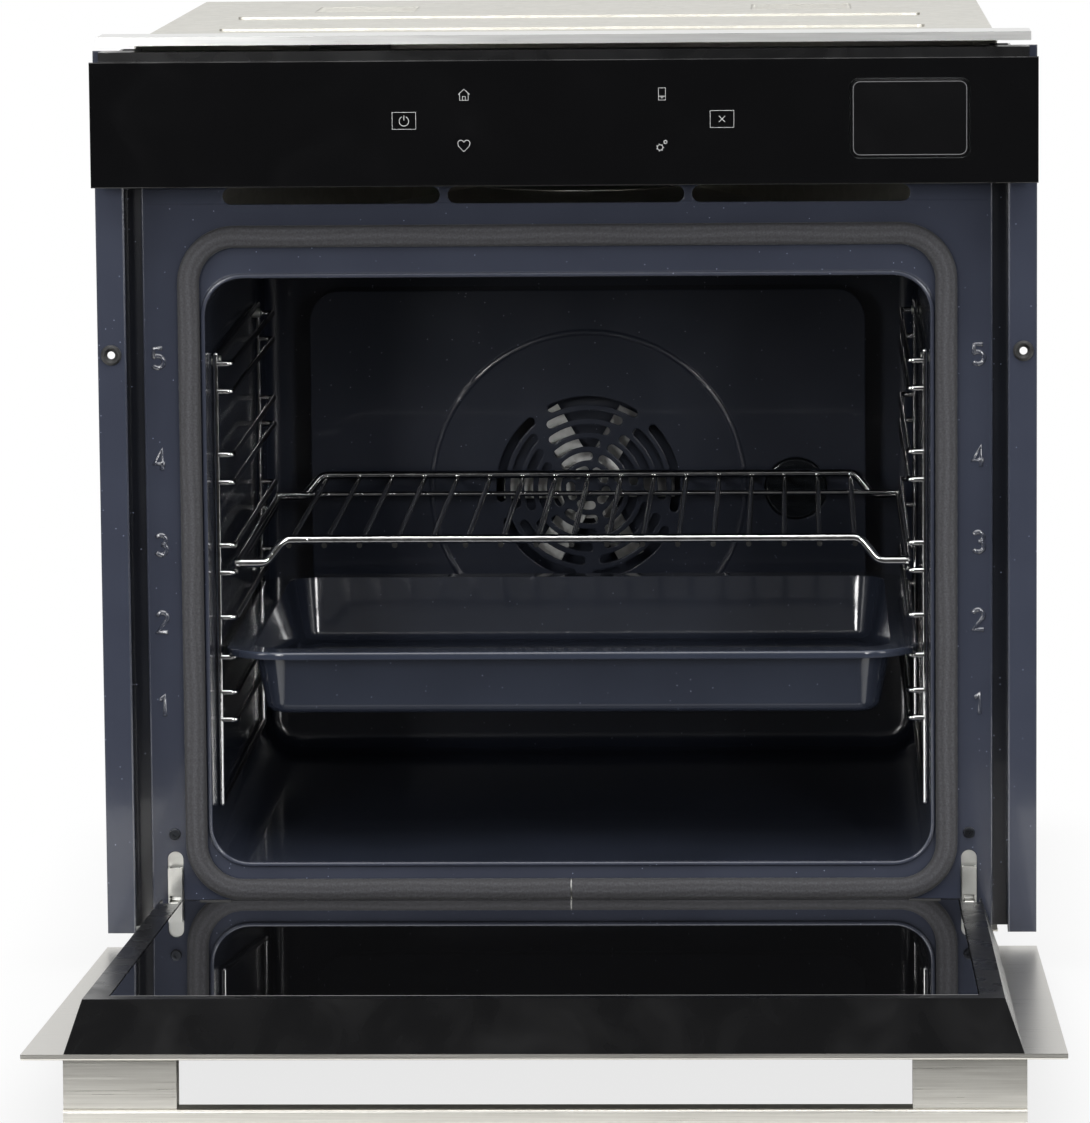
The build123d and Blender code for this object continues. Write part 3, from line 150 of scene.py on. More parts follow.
# Enamelled sheet: face frame, side trims, cavity, fan cover and tray.
# Low-carbon steel is pressed, coated with blue-black frit with pale flecks and fired at about 830 degrees.
# The frame is screwed to the trims, the cavity is welded to it and the fan cover is screwed inside.
# Vitreous enamel: glassy dark slate blue with sub-millimetre flecks and a very slight orange peel.
def enamel(name, deep, light, fleck_share, low, high):
    """Fired enamel; the flecks are half a millimetre wide and some millimetres apart."""
    glaze, bsdf, where = finish(name, IOR=1.5, Coat_Weight=0.4, Coat_Roughness=0.05)
    fleck_spacing_mm, fleck_mm = 4.5, 0.7
    cloud_mm, peel_mm, rolled_mm = 60.0, 5.0, 1.5
    cells = add(glaze, "TexVoronoi", {"Vector": where, "Scale": 1000 / fleck_spacing_mm}, feature="F1")
    dot = add(glaze, "Math", {0: cells.outputs["Distance"], 1: fleck_mm / 2 / fleck_spacing_mm},
              operation="LESS_THAN")
    draw = add(glaze, "SeparateColor", {"Color": cells.outputs["Color"]})
    chosen = add(glaze, "Math", {0: draw.outputs["Red"], 1: fleck_share}, operation="LESS_THAN")
    fleck = add(glaze, "Math", {0: dot.outputs["Value"], 1: chosen.outputs["Value"]}, operation="MULTIPLY")
    clouds = add(glaze, "TexNoise", {"Vector": where, "Scale": 1000 / cloud_mm, "Detail": 2.0})
    body = add(glaze, "Mix", {"Factor": clouds.outputs["Fac"], "A": linear(deep), "B": linear(light)},
               data_type="RGBA")
    spotted = add(glaze, "Mix", {"Factor": fleck.outputs["Value"], "A": body.outputs["Result"],
                                 "B": linear("#7A8092")}, data_type="RGBA")
    peel = add(glaze, "TexNoise", {"Vector": where, "Scale": 1000 / peel_mm, "Detail": 1.0})
    rolled = add(glaze, "Bevel", {"Radius": rolled_mm / 1000}, samples=4)
    relief = add(glaze, "Bump", {"Height": peel.outputs["Fac"], "Strength": 0.04, "Distance": 0.0006,
                                 "Normal": rolled.outputs["Normal"]})
    gloss = add(glaze, "MapRange", {"Value": clouds.outputs["Fac"], "To Min": low, "To Max": high})
    feed(glaze, bsdf, Base_Color=spotted.outputs["Result"], Roughness=gloss.outputs["Result"],
         Normal=relief.outputs["Normal"])
    return glaze


frame_enamel = enamel("slate_blue_enamel", "#2D303B", "#363A46", 0.3, 0.1, 0.18)
cavity_enamel = enamel("cavity_enamel", "#22262F", "#2A2E3A", 0.25, 0.16, 0.26)
tray_enamel = enamel("tray_enamel", "#272B36", "#303541", 0.25, 0.06, 0.12)
dress(frame_enamel, "face_frame", "side_trim_left", "side_trim_right")
dress(cavity_enamel, "cavity", "fan_cover")
dress(tray_enamel, "deep_tray")

# The channel behind each fixing flange lies in deep shade, so its faces get a darker copy of the enamel:
# painted shade.
channel_shade_enamel = enamel("channel_shade_enamel", "#0E1015", "#14161D", 0.25, 0.16, 0.26)
channel_start = 0.0001
for name in ("side_trim_left", "side_trim_right"):
    trim = nodes[name].data
    trim.materials.append(channel_shade_enamel)
    for face in trim.polygons:
        face.material_index = int((nodes[name].matrix_world @ face.center).y > channel_start)


# Shelf numbers: the levels one to five, pressed up from behind beside each runner before enamelling.
# They are rounded beads in the same sheet, so only their glossy edges catch the light.
# Each digit is drawn as one bead along its strokes and sunk about halfway into the frame.
def strokes(name, paths, radius, material, body, depth):
    """Round beads along paths of X and Z in millimetres, at one Y, as one mesh piece."""
    curve = bpy.data.curves.new(name + "_line", "CURVE")
    curve.dimensions = "3D"
    curve.bevel_depth = radius / 1000
    curve.bevel_resolution = 3
    curve.use_fill_caps = True
    for points, closed in paths:
        spline = curve.splines.new("POLY")
        spline.points.add(len(points) - 1)
        spline.use_cyclic_u = closed
        for point, (x, z) in zip(spline.points, points):
            point.co = (x / 1000, depth / 1000, z / 1000, 1.0)
    line = bpy.data.objects.new(name + "_line", curve)
    bpy.context.scene.collection.objects.link(line)
    bpy.context.view_layer.update()
    mesh = bpy.data.meshes.new_from_object(line.evaluated_get(bpy.context.evaluated_depsgraph_get()))
    bpy.data.objects.remove(line)
    bpy.data.curves.remove(curve)
    mesh.name = name
    for face in mesh.polygons:
        face.use_smooth = True
    mesh.materials.clear()
    mesh.materials.append(material)
    piece = bpy.data.objects.new(name, mesh)
    bpy.context.scene.collection.objects.link(piece)
    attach(piece, body)
    return piece


def arc(x, z, radius, start, end, squeeze=1.0):
    """Points of an arc in degrees, anticlockwise from the right, narrowed in X by squeeze."""
    count = max(4, int(abs(end - start) / 15))
    angles = [math.radians(start + (end - start) * n / count) for n in range(count + 1)]
    return [(x + radius * squeeze * math.cos(a), z + radius * math.sin(a)) for a in angles]


digit_paths = {
    5: [[(3, 6.5), (-2.6, 6.5), (-3, 1.2)] + arc(-0.2, -2.2, 3.9, 130, -140)],
    4: [[(1.6, -6.5), (1.6, 6.5), (-3.6, -2.6), (3.6, -2.6)]],
    3: [arc(0, 3.2, 3.2, 150, -75) + arc(0, -2.8, 3.6, 75, -150)],
    2: [arc(0, 3.0, 3.4, 160, -35) + [(-3.4, -6.4), (3.6, -6.4)]],
    1: [[(-2.2, 3.6), (0.8, 6.5), (0.8, -6.5)]],
}
digit_x, bead_radius, bead_sink = 261.0, 1.9, 0.95
bead_enamel = enamel("fire_polished_enamel", "#2D303B", "#363A46", 0.0, 0.08, 0.14)
bead_enamel.node_tree.nodes["Principled BSDF"].inputs["IOR"].default_value = 1.9
lip_rise = 2.0
frame_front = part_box("face_frame")[0].y * 1000 + lip_rise
digit_heights = {5: 369.0, 4: 304.0, 3: 249.0, 2: 199.0, 1: 145.0}
for level, height in digit_heights.items():
    for side, label in ((-1, "left"), (1, "right")):
        paths = [
            ([(side * digit_x + x, height + z) for x, z in path], False)
            for path in digit_paths[level]
        ]
        strokes(f"shelf_digit_{level}_{label}", paths, bead_radius, bead_enamel, "oven",
                frame_front + bead_sink)


# Rolled edges: the flanges and the face frame are folded over a small radius along their upright edges.
# The fold is enamelled with the sheet, so it shows as a fine bright line in light from the front.
# Each fold is drawn as one upright bead, sunk into the corner so that only its round stands out.
edge_radius, edge_sink, flange_width = 0.7, 0.45, 18.0
trim_low, trim_high = [corner * 1000 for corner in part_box("side_trim_right")]
face_low, face_high = [corner * 1000 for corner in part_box("face_frame")]
flange_edge_x = trim_high.x - flange_width + edge_sink
frame_edge_x = face_high.x - edge_sink
for side, label in ((-1, "left"), (1, "right")):
    flange_run = [(side * flange_edge_x, trim_low.z), (side * flange_edge_x, trim_high.z)]
    strokes(f"flange_edge_{label}", [(flange_run, False)], edge_radius, bead_enamel, "oven",
            trim_low.y + edge_sink)
    frame_run = [(side * frame_edge_x, face_low.z), (side * frame_edge_x, face_high.z)]
    strokes(f"frame_edge_{label}", [(frame_run, False)], edge_radius, bead_enamel, "oven",
            frame_front + edge_sink)


# Door gasket: a hollow rope of braided glass-fibre yarn that seals the mouth when the door is shut.
# The yarn runs in two crossing spirals, dyed dark grey, and the rope is flattened against the frame.
# It hooks into the frame at its corners and its two ends meet at the bottom centre.
# Braided glass-fibre yarn: matt dark grey with paler lengthwise streaks, and painted shade on the rope.
yarn, shader, place = finish("braided_glass_fibre", Roughness=0.78, Sheen_Weight=0.08, Sheen_Roughness=0.5)
# The braid layer holds the streaks with painted shade: dark on the rope's sides and in the braid's hollows.
streaks_and_shade = add(yarn, "VertexColor", layer_name="braid")
fibre_mm = 1.2
fibres = add(yarn, "TexNoise", {"Vector": place, "Scale": 1000 / fibre_mm, "Detail": 4.0})
blend = add(yarn, "Math", {0: streaks_and_shade.outputs["Color"], 1: fibres.outputs["Fac"]}, operation="MULTIPLY")
dye_and_shade = add(yarn, "Mix", {"Factor": blend.outputs["Value"], "A": linear("#0B0B0D"), "B": linear("#4E4E53")},
           data_type="RGBA")
fuzz = add(yarn, "Bump", {"Height": fibres.outputs["Fac"], "Strength": 0.4, "Distance": 0.0004})
feed(yarn, shader, Base_Color=dye_and_shade.outputs["Result"], Normal=fuzz.outputs["Normal"])

gasket_low, gasket_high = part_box("door_gasket")
rope_half = (gasket_high.y - gasket_low.y) / 2
rope_width, corner_radius = 0.007, 0.030
ring_half_x = gasket_high.x - rope_width
ring_low, ring_high = gasket_low.z + rope_width, gasket_high.z - rope_width
rope_y = (gasket_low.y + gasket_high.y) / 2


def ring_point(travel):
    """A point on the rope's centre line and its outward direction, from the bottom centre anticlockwise."""
    flat_x = ring_half_x - corner_radius
    flat_z = ring_high - ring_low - 2 * corner_radius
    quarter = corner_radius * math.pi / 2
    corners = ((flat_x, ring_low + corner_radius, -90), (flat_x, ring_high - corner_radius, 0),
               (-flat_x, ring_high - corner_radius, 90), (-flat_x, ring_low + corner_radius, 180))
    runs = (flat_x, flat_z, 2 * flat_x, flat_z, flat_x)
    for number, run in enumerate(runs):
        if travel <= run or number == 4:
            angle = math.radians(-90 + 90 * number)
            ahead = (math.cos(angle + math.pi / 2), math.sin(angle + math.pi / 2))
            if number == 0:
                start = (0.0, ring_low)
            else:
                x, z, first = corners[number - 1]
                end = math.radians(first + 90)
                start = (x + corner_radius * math.cos(end), z + corner_radius * math.sin(end))
            out = (math.cos(angle), math.sin(angle))
            return (start[0] + ahead[0] * travel, start[1] + ahead[1] * travel), out
        travel -= run
        if travel <= quarter:
            x, z, first = corners[number]
            angle = math.radians(first) + travel / corner_radius
            out = (math.cos(angle), math.sin(angle))
            return (x + corner_radius * out[0], z + corner_radius * out[1]), out
        travel -= quarter
    return None


ring_length = (4 * (ring_half_x - corner_radius) + 2 * (ring_high - ring_low - 2 * corner_radius)
               + 2 * math.pi * corner_radius)
ring_count, round_count = 1680, 44
strand_count, strand_pitch, braid_height = 14, 0.0120, 0.00022
crossings = round(ring_length / strand_pitch)
crown_power, front_light_power, streak_count, streak_drift = 0.8, 0.8, 9, 0.1
streak_least, hollow_shade_least = 0.6, 0.75
rope_points, rope_streaks_and_shade = [], []
for step in range(ring_count):
    travel = ring_length * step / ring_count
    (x, z), out = ring_point(travel)
    phase = 2 * math.pi * crossings * step / ring_count
    for n in range(round_count):
        angle = 2 * math.pi * n / round_count
        one = 0.5 + 0.5 * math.cos(phase + strand_count * angle)
        two = 0.5 + 0.5 * math.cos(phase - strand_count * angle)
        over = max(one, two) ** crown_power
        rise = braid_height * (over - 1.0)
        radial = (rope_width + rise) * math.cos(angle)
        depth = (rope_half + rise) * math.sin(angle)
        rope_points.append((x + out[0] * radial, rope_y - depth, z + out[1] * radial))
        # Painted shade: lightest on the rope's front, falling to dark on its sides and in the hollows
        # between strands.
        painted_front_light = max(0.0, math.sin(angle)) ** front_light_power
        streak = 0.5 + 0.5 * math.sin(streak_count * angle + math.sin(phase * streak_drift))
        streaked = streak_least + (1 - streak_least) * streak
        rope_streaks_and_shade.append(painted_front_light * streaked * (hollow_shade_least + (1 - hollow_shade_least) * over))
rope_faces = [
    (s * round_count + n, s * round_count + (n + 1) % round_count,
     (s + 1) % ring_count * round_count + (n + 1) % round_count, (s + 1) % ring_count * round_count + n)
    for s in range(ring_count) for n in range(round_count)
]
rope_mesh = bpy.data.meshes.new("braided_gasket")
rope_mesh.from_pydata(rope_points, [], rope_faces)
streak_shade_layer = rope_mesh.color_attributes.new("braid", "FLOAT_COLOR", "POINT")
for item, value in zip(streak_shade_layer.data, rope_streaks_and_shade):
    item.color = (value, value, value, 1.0)
for face in rope_mesh.polygons:
    face.use_smooth = True
rope_mesh.materials.append(yarn)
rope = bpy.data.objects.new("braided_gasket", rope_mesh)
bpy.context.scene.collection.objects.link(rope)
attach(rope, "oven")
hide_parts("door_gasket")


# Gasket staple: a tinned wire that clamps the two ends of the rope together at the bottom centre.
# It is pressed into the front of the rope, so the shut door clears it.
def plated(name, dark, light, low, high, stain_mm=14.0):
    """Plated or bare steel with faint stains of some millimetres."""
    metal, bsdf, where = finish(name, Metallic=1.0)
    stain = add(metal, "TexNoise", {"Vector": where, "Scale": 1000 / stain_mm, "Detail": 4.0})
    colour = add(metal, "Mix", {"Factor": stain.outputs["Fac"], "A": linear(dark), "B": linear(light)},
                 data_type="RGBA")
    gloss = add(metal, "MapRange", {"Value": stain.outputs["Fac"], "To Min": low, "To Max": high})
    relief = add(metal, "Bump", {"Height": stain.outputs["Fac"], "Strength": 0.05, "Distance": 0.0004})
    feed(metal, bsdf, Base_Color=colour.outputs["Result"], Roughness=gloss.outputs["Result"],
         Normal=relief.outputs["Normal"])
    return metal


staple_wire = plated("tinned_staple_wire", "#7C7C7A", "#A0A09E", 0.3, 0.45)
staple_radius, staple_steps, wire_sides, staple_sink = 0.0006, 18, 10, 0.00045
bent_depth, bent_height = rope_half - staple_sink, rope_width - staple_sink
staple_points = []
for step in range(staple_steps + 1):
    angle = math.pi * step / staple_steps
    for n in range(wire_sides):
        turn = 2 * math.pi * n / wire_sides
        swell = staple_radius * math.cos(turn)
        depth = (bent_depth + swell) * math.sin(angle)
        rise = (bent_height + swell) * math.cos(angle)
        staple_points.append((staple_radius * math.sin(turn), rope_y - depth, ring_low + rise))
staple_faces = [
    (s * wire_sides + n, s * wire_sides + (n + 1) % wire_sides, (s + 1) * wire_sides + (n + 1) % wire_sides,
     (s + 1) * wire_sides + n)
    for s in range(staple_steps) for n in range(wire_sides)
]
staple_faces += [tuple(range(wire_sides))[::-1],
                 tuple(range(staple_steps * wire_sides, (staple_steps + 1) * wire_sides))]
staple_mesh = bpy.data.meshes.new("gasket_staple")
staple_mesh.from_pydata(staple_points, [], staple_faces)
for face in staple_mesh.polygons:
    face.use_smooth = True
staple_mesh.materials.append(staple_wire)
staple = bpy.data.objects.new("gasket_staple", staple_mesh)
bpy.context.scene.collection.objects.link(staple)
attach(staple, "oven")


# Niche bushes: two black nylon bushes that take the screws into the cabinet.
# They are injection moulded with a countersunk mouth and snap into the side flanges.
# Moulded nylon: dull black with a fine spark-eroded grain.
def moulded(name, colour, roughness):
    """Moulded plastic with a fine eroded grain."""
    plastic, bsdf, where = finish(name, IOR=1.53)
    grain_mm = 0.7
    grain = add(plastic, "TexNoise", {"Vector": where, "Scale": 1000 / grain_mm, "Detail": 3.0})
    shade = add(plastic, "MapRange", {"Value": grain.outputs["Fac"], "To Min": 0.75, "To Max": 1.25})
    tint = add(plastic, "VectorMath", {0: linear(colour)[:3], "Scale": shade.outputs["Result"]},
               operation="SCALE")
    relief = add(plastic, "Bump", {"Height": grain.outputs["Fac"], "Strength": 0.12, "Distance": 0.0003})
    gloss = add(plastic, "MapRange", {"Value": grain.outputs["Fac"], "To Min": roughness - 0.05,
                                      "To Max": roughness + 0.05})
    feed(plastic, bsdf, Base_Color=tint.outputs["Vector"], Roughness=gloss.outputs["Result"],
         Normal=relief.outputs["Normal"])
    return plastic


nylon = moulded("black_nylon", "#161616", 0.42)
dress(nylon, "niche_bushes")
housing_plastic = moulded("grey_polypropylene", "#7C7E80", 0.5)
dress(housing_plastic, "terminal_box", "drawer_housing")


# Heaters, fan and lamp: tube heaters of oxidised steel, a stamped fan wheel and its motor, and the lamp.
# The heaters are bent from 6.4 mm tube; the fan is aluminised sheet on a steel shaft behind the cover.
# The lamp is a capsule bulb in a cup behind a pressed glass lens.
oxidised = plated("oxidised_heater_steel", "#2A2622", "#453F39", 0.4, 0.6)
dress(oxidised, "ring_heater", "grill_element", "bottom_element", "lamp_holder")
aluminised = plated("aluminised_fan_steel", "#A0A09E", "#E2E2E0", 0.5, 0.7, 5.0)
dress(aluminised, "convection_fan", "fan_shaft", "blower_wheel")
motor_iron = plated("lacquered_motor_iron", "#6A6A68", "#858583", 0.4, 0.55)
dress(motor_iron, "fan_motor", "blower_motor")

# Pressed borosilicate glass: clear, with a slight ripple from the mould.
lens, shader, place = finish("pressed_borosilicate", IOR=1.47, Roughness=0.08, Transmission_Weight=0.9)
ripple_mm = 3.0
ripple = add(lens, "TexNoise", {"Vector": place, "Scale": 1000 / ripple_mm, "Detail": 1.0})
haze = add(lens, "Mix", {"Factor": ripple.outputs["Fac"], "A": linear("#4A5058"), "B": linear("#5E656E")},
           data_type="RGBA")
mould = add(lens, "Bump", {"Height": ripple.outputs["Fac"], "Strength": 0.3, "Distance": 0.0006})
feed(lens, shader, Base_Color=haze.outputs["Result"], Normal=mould.outputs["Normal"])
dress(lens, "lamp_glass", "lamp_bulb")


# Glass wool: the jacket round the cavity, a needled mat about fifteen millimetres thick.
# It is wrapped on before the casing is closed, and hardly shows.
# Needled glass wool: matt straw yellow with tangled fibres.
wool, shader, place = finish("needled_glass_wool", Roughness=0.95, Sheen_Weight=0.3)
tangle_mm = 4.0
tangle = add(wool, "TexNoise", {"Vector": place, "Scale": 1000 / tangle_mm, "Detail": 6.0,
                                "Distortion": 1.2})
straw = add(wool, "Mix", {"Factor": tangle.outputs["Fac"], "A": linear("#A8935A"), "B": linear("#D6C692")},
            data_type="RGBA")
mat_relief = add(wool, "Bump", {"Height": tangle.outputs["Fac"], "Strength": 0.7, "Distance": 0.002})
feed(wool, shader, Base_Color=straw.outputs["Result"], Normal=mat_relief.outputs["Normal"])
dress(wool, "insulation")


# Racks and shelf: steel wire, bent, resistance welded and chromium plated.
# The racks hang on wall studs; the shelf slides on the third pair of runners.
# Chromium plate on wire: bright, with small dull spots near the welds.
chrome, shader, place = finish("chromium_plated_wire", Metallic=1.0)
dull_mm = 6.0
dull = add(chrome, "TexNoise", {"Vector": place, "Scale": 1000 / dull_mm, "Detail": 3.0})
plate_tone = add(chrome, "Mix", {"Factor": dull.outputs["Fac"], "A": linear("#A8A8A8"),
                                 "B": linear("#DCDCDC")}, data_type="RGBA")
plate_gloss = add(chrome, "MapRange", {"Value": dull.outputs["Fac"], "From Min": 0.35, "From Max": 0.7,
                                       "To Min": 0.05, "To Max": 0.14})
ripple = add(chrome, "Bump", {"Height": dull.outputs["Fac"], "Strength": 0.12, "Distance": 0.0008})
feed(chrome, shader, Base_Color=plate_tone.outputs["Result"], Roughness=plate_gloss.outputs["Result"],
     Normal=ripple.outputs["Normal"])
dress(chrome, "side_rack_left", "side_rack_right", "wire_shelf")
zinc_plate = plated("zinc_plated_steel", "#B4B4B0", "#DCDCD8", 0.25, 0.42)
dress(zinc_plate, "rack_studs", "hinge_receivers", "hinge_arms", "hinge_lock_left", "hinge_lock_right",
      "hinge_pins", "hinge_casings", "hinge_springs", "handle_screws")
black_screw = plated("blackened_screw_steel", "#26282C", "#3E4044", 0.22, 0.36)
dress(black_screw, "frame_screws")


# Control panel: a back-painted pane bonded to the steel carrier, with a display and touch keys behind it.
# The drawer flap sits in a cut-out of the pane and carries the water tank.
# Back-painted float glass: deep black, very smooth, with faint wiping smears.
def dark_glass(name, colour, ior, low, high, level=0.5):
    """Glass over black paint; the smears only change its gloss."""
    pane, bsdf, where = finish(name, IOR=ior, Specular_IOR_Level=level)
    smear_mm = 45.0
    smear = add(pane, "TexNoise", {"Vector": where, "Scale": 1000 / smear_mm, "Detail": 4.0,
                                   "Distortion": 0.8})
    gloss = add(pane, "MapRange", {"Value": smear.outputs["Fac"], "From Min": 0.4, "From Max": 0.75,
                                   "To Min": low, "To Max": high})
    shade = add(pane, "MapRange", {"Value": smear.outputs["Fac"], "To Min": 0.8, "To Max": 1.2})
    tint = add(pane, "VectorMath", {0: linear(colour)[:3], "Scale": shade.outputs["Result"]},
               operation="SCALE")
    feed(pane, bsdf, Base_Color=tint.outputs["Vector"], Roughness=gloss.outputs["Result"])
    return pane


fascia_black = dark_glass("back_painted_glass", "#09090A", 1.5, 0.03, 0.12)
flap_black = dark_glass("gloss_black_polycarbonate", "#0C0C0D", 1.5, 0.06, 0.16)
dress(fascia_black, "fascia_glass", "display_module")
dress(flap_black, "water_drawer_flap")
tank_clear, shader, place = finish("clear_copolyester", IOR=1.56, Roughness=0.12, Transmission_Weight=0.8)
flow_mm = 25.0
flow = add(tank_clear, "TexNoise", {"Vector": place, "Scale": 1000 / flow_mm, "Detail": 2.0})
smoke = add(tank_clear, "Mix", {"Factor": flow.outputs["Fac"], "A": linear("#B9C4CA"),
                                "B": linear("#D3DCE0")}, data_type="RGBA")
feed(tank_clear, shader, Base_Color=smoke.outputs["Result"])
dress(tank_clear, "water_tank")
laminate = moulded("green_board_laminate", "#1F5A38", 0.45)
dress(laminate, "control_board")

# Touch marks: fired ceramic ink, pale grey and matt, a few tenths of a millimetre proud of the pane.
ink, shader, place = finish("ceramic_ink", Roughness=0.6)
print_mm = 0.6
dots = add(ink, "TexNoise", {"Vector": place, "Scale": 1000 / print_mm, "Detail": 2.0})
ink_tone = add(ink, "Mix", {"Factor": dots.outputs["Fac"], "A": linear("#9A9A9A"), "B": linear("#C8C8C8")},
               data_type="RGBA")
feed(ink, shader, Base_Color=ink_tone.outputs["Result"])
pane_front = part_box("fascia_glass")[0].y * 1000
ink_width, ink_sink_share = 0.26, 0.6


def mark(name, x, z, paths):
    """A touch mark on the pane; each path is its points about the middle, and whether it closes."""
    placed = [([(x + px, z + pz) for px, pz in points], closed) for points, closed in paths]
    depth = pane_front + ink_width * ink_sink_share
    return strokes(name, placed, ink_width, ink, "oven", depth)


def cog(x, z, radius, teeth):
    """A ring with short radial teeth."""
    tooth_reach = 1.5
    ring = [(arc(x, z, radius, 0, 345), True)]
    for n in range(teeth):
        turn = n * 360 / teeth
        root = arc(x, z, radius, turn, turn)[:1]
        tip = arc(x, z, radius * tooth_reach, turn, turn)[:1]
        ring.append((root + tip, False))
    return ring


key_frame = ([(-7.4, -5.3), (7.4, -5.3), (7.4, 5.3), (-7.4, 5.3)], True)
mark("mark_power", -99.7, 522.3, [
    key_frame, (arc(0, -0.3, 3.0, 115, 425), False), ([(0, 3.4), (0, 0.2)], False)])
mark("mark_cancel", 99.7, 522.2, [
    key_frame, ([(-1.9, -1.9), (1.9, 1.9)], False), ([(-1.9, 1.9), (1.9, -1.9)], False)])
mark("mark_home", -61.9, 538.3, [
    ([(-3.6, 0.2), (0, 3.6), (3.6, 0.2)], False),
    ([(-2.7, 0.8), (-2.7, -3.4), (2.7, -3.4), (2.7, 0.8)], False),
    ([(-0.9, -3.4), (-0.9, -1.0), (0.9, -1.0), (0.9, -3.4)], False)])
mark("mark_heart", -62.2, 506.3, [
    ([(0, -3.6), (-3.5, 0.0)] + arc(-1.9, 1.7, 1.9, 205, 20)
     + arc(1.9, 1.7, 1.9, 160, -25) + [(3.5, 0.0)], True)])
mark("mark_handset", 62.2, 538.1, [
    ([(-2.2, -3.8), (2.2, -3.8), (2.2, 3.8), (-2.2, 3.8)], True), ([(-0.7, -2.4), (0.7, -2.4)], False),
    ([(-2.2, -1.4), (2.2, -1.4)], False)])
mark("mark_settings", 62.0, 505.6, cog(-1.2, -1.0, 1.7, 7) + cog(2.2, 2.4, 0.9, 5))


def rounded_box(x, z, width, height, radius):
    """Points of a rectangle with round corners."""
    half_x, half_z = width / 2 - radius, height / 2 - radius
    corners = ((half_x, half_z, 0), (-half_x, half_z, 90), (-half_x, -half_z, 180), (half_x, -half_z, 270))
    return [point for cx, cz, start in corners for point in arc(x + cx, z + cz, radius, start, start + 90)]


# The flap's moulded edge: a thin bead just inside its rim, coloured pale grey where the light catches: a
# painted highlight.
rim_highlight = moulded("flap_rim_highlight", "#4A4A4C", 0.3)
flap_low, flap_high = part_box("water_drawer_flap")
flap_x, flap_z = (flap_low.x + flap_high.x) * 500, (flap_low.z + flap_high.z) * 500
rim_inset, rim_corner, rim_radius, rim_sink = 1.6, 4.2, 0.35, 0.15
rim_path = rounded_box(flap_x, flap_z, (flap_high.x - flap_low.x) * 1000 - 2 * rim_inset,
                       (flap_high.z - flap_low.z) * 1000 - 2 * rim_inset, rim_corner)
strokes("flap_rim", [(rim_path, True)], rim_radius, rim_highlight, "water_drawer", pane_front + rim_sink)


# Door: a stainless outer panel with a bonded window, two more panes, black rails and a bar handle.
# The rails are folded sheet with stoved black paint; the panes lie on their ledges.
# The handle is ground stainless on two posts, screwed through the panel.
door_steel = brushed("ground_stainless_door", "#DCDAD4", "#BAB7B0", 0.3, 0)
dress(door_steel, "door_panel", "handle_bar", "handle_posts")
inner_pane = dark_glass("coated_oven_glass", "#0B0B0C", 2.0, 0.01, 0.03)
dress(inner_pane, "door_inner_glass")
window_pane = dark_glass("tinted_window_glass", "#08080A", 1.5, 0.02, 0.08)
dress(window_pane, "door_outer_glass", "door_middle_glass")
stoved = dark_glass("stoved_black_paint", "#0C0C0D", 1.45, 0.25, 0.38, 0.3)
dress(stoved, "door_side_rail_left", "door_side_rail_right", "door_top_rail", "door_bottom_rail",
      "fascia_carrier")

# Glass stops: two short strips of black silicone that keep the inner pane off the hinge end.
# They are moulded, and pushed over the edge of the pane near each hinge.
silicone = moulded("black_silicone", "#0E0E0E", 0.5)
pane = nodes["door_inner_glass"]
pane_points = [pane.matrix_world @ vertex.co for vertex in pane.data.vertices]
rear_edge = max(pane_points, key=lambda point: point.y)
door_open_degrees = 86.3
tilt = math.radians(90 - door_open_degrees)
toward_hinge = Vector((0, math.cos(tilt), -math.sin(tilt)))
off_pane = Vector((0, math.sin(tilt), math.cos(tilt)))
stop_length, stop_depth, stop_height, stop_x, stop_sink = 0.020, 0.0022, 0.0012, 0.236, 0.0004
box_faces = [(0, 1, 3, 2), (4, 6, 7, 5), (0, 4, 5, 1), (2, 3, 7, 6), (0, 2, 6, 4), (1, 5, 7, 3)]
for side, label in ((-1, "left"), (1, "right")):
    stop_mesh = bpy.data.meshes.new(f"glass_stop_{label}")
    x_ends = (side * stop_x, side * (stop_x - stop_length))
    seat = Vector((0, rear_edge.y, rear_edge.z))
    corners = [
        seat + Vector((x, 0, 0)) + toward_hinge * run + off_pane * height
        for x in sorted(x_ends) for run in (-stop_depth, 0) for height in (-stop_sink, stop_height)
    ]
    stop_mesh.from_pydata(corners, [], box_faces)
    stop_mesh.materials.append(silicone)
    stop = bpy.data.objects.new(f"glass_stop_{label}", stop_mesh)
    bpy.context.scene.collection.objects.link(stop)
    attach(stop, "door")


# Studio: a pale floor just under the lowest piece, soft lights above and at the sides, and the camera.
# The room in front of the oven is dark, so the black glass stays black.
# The camera has a long lens and stands a little above the control panel.
floor_gap = 0.003
floor_z = cad_box[0][2] - floor_gap
floor_mesh = bpy.data.meshes.new("studio_floor")
floor_half, floor_near, floor_far = 4, -0.62, 6
floor_corners = [(-floor_half, floor_near), (floor_half, floor_near),
                 (floor_half, floor_far), (-floor_half, floor_far)]
floor_mesh.from_pydata([(x, y, floor_z) for x, y in floor_corners], [], [(0, 1, 2, 3)])
floor = bpy.data.objects.new("studio_floor", floor_mesh)
bpy.context.scene.collection.objects.link(floor)
paper, shader, place = finish("white_studio_paper", Roughness=0.9)
shader.inputs["Base Color"].default_value = linear("#E8E8E6")
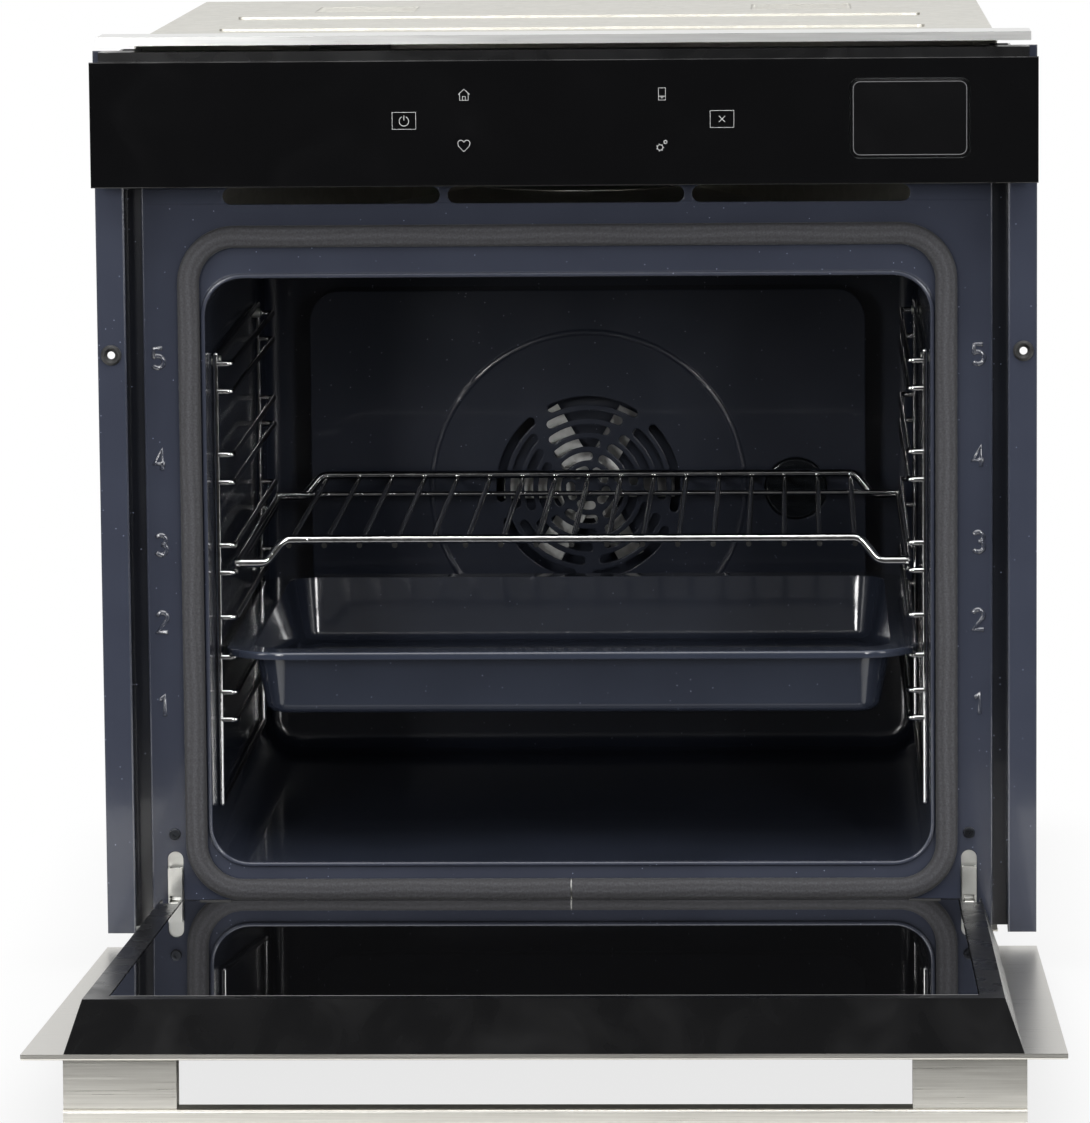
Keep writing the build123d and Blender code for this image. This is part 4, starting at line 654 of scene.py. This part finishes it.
# Camera and transmission rays see white light, dimmed near the oven by ambient occlusion: a painted contact
# shadow.
contact = add(paper, "AmbientOcclusion", {"Distance": 0.12}, samples=8)
shade = add(paper, "MapRange", {"Value": contact.outputs["AO"], "To Min": 0.78, "To Max": 1.0})
white_with_contact_shadow = add(paper, "Emission", {"Strength": shade.outputs["Result"]})
seen = add(paper, "LightPath")
direct = add(paper, "Math", {0: seen.outputs["Is Camera Ray"], 1: seen.outputs["Is Transmission Ray"]},
             operation="MAXIMUM")
both = add(paper, "MixShader", {0: direct.outputs["Value"], 1: shader.outputs["BSDF"],
                                2: white_with_contact_shadow.outputs["Emission"]})
paper_out = paper.node_tree.nodes["Material Output"]
paper.node_tree.links.new(both.outputs["Shader"], paper_out.inputs["Surface"])
floor_mesh.materials.append(paper)

world = bpy.data.worlds.new("studio")
bpy.context.scene.world = world
world.use_nodes = True
sky = world.node_tree.nodes["Background"]
toward = add(world, "SeparateXYZ", {"Vector": add(world, "TexCoord").outputs["Generated"]})
height = add(world, "MapRange", {"Value": toward.outputs["Z"], "From Min": 0.05, "From Max": 0.7,
                                 "To Min": 0.03, "To Max": 0.75}, interpolation_type="SMOOTHSTEP")
behind = add(world, "MapRange", {"Value": toward.outputs["Y"], "From Min": 0.1, "From Max": 0.7,
                                 "To Max": 0.9}, interpolation_type="SMOOTHSTEP")
room = add(world, "Math", {0: height.outputs["Result"], 1: behind.outputs["Result"]}, operation="MAXIMUM")
sight = add(world, "LightPath")
strength = add(world, "Math", {0: room.outputs["Value"], 1: sight.outputs["Is Camera Ray"]},
               operation="MAXIMUM")
world.node_tree.links.new(strength.outputs["Value"], sky.inputs["Strength"])
sky.inputs["Color"].default_value = (1.0, 1.0, 1.0, 1.0)


def softbox(name, place, target, width, height, watts):
    """A rectangular lamp that faces its target."""
    lamp = bpy.data.lights.new(name, "AREA")
    lamp.shape = "RECTANGLE"
    lamp.size, lamp.size_y, lamp.energy = width, height, watts
    holder = bpy.data.objects.new(name, lamp)
    holder.location = place
    holder.rotation_euler = (Vector(target) - Vector(place)).to_track_quat("-Z", "Y").to_euler()
    bpy.context.scene.collection.objects.link(holder)


softbox("overhead", (0.0, -1.0, 2.6), (0.0, 0.0, 0.3), 2.6, 1.8, 60)
softbox("left_side", (-2.1, -1.3, 1.0), (0.0, 0.0, 0.3), 1.0, 1.8, 26)
softbox("right_side", (2.1, -1.3, 1.0), (0.0, 0.0, 0.3), 1.0, 1.8, 22)
softbox("front_left", (-1.2, -3.4, 1.1), (0.0, 0.2, 0.2), 0.5, 1.0, 42)
softbox("front_right", (1.4, -3.4, 1.1), (0.0, 0.2, 0.2), 0.5, 1.0, 36)

camera_place = Vector((0.1426, -4.1509, 0.7969))
yaw, pitch, roll = math.radians(-2.169), math.radians(-7.64), math.radians(-0.509)
focal_px, frame_width_px = 6588.3, 1090
ahead = Vector((math.sin(yaw) * math.cos(pitch), math.cos(yaw) * math.cos(pitch), math.sin(pitch)))
rightward = Vector((math.cos(yaw), -math.sin(yaw), 0.0))
rise = rightward.cross(ahead)
across = math.cos(roll) * rightward + math.sin(roll) * rise
upward = -math.sin(roll) * rightward + math.cos(roll) * rise
lens_data = bpy.data.cameras.new("long_lens")
lens_data.sensor_fit = "HORIZONTAL"
lens_data.lens = focal_px * lens_data.sensor_width / frame_width_px
lens_data.clip_end = 50.0
camera = bpy.data.objects.new("long_lens", lens_data)
turned = Matrix((across, upward, -ahead)).transposed().to_4x4()
camera.matrix_world = Matrix.Translation(camera_place) @ turned
bpy.context.scene.collection.objects.link(camera)
bpy.context.scene.camera = camera
bpy.context.scene.view_settings.view_transform = "Standard"
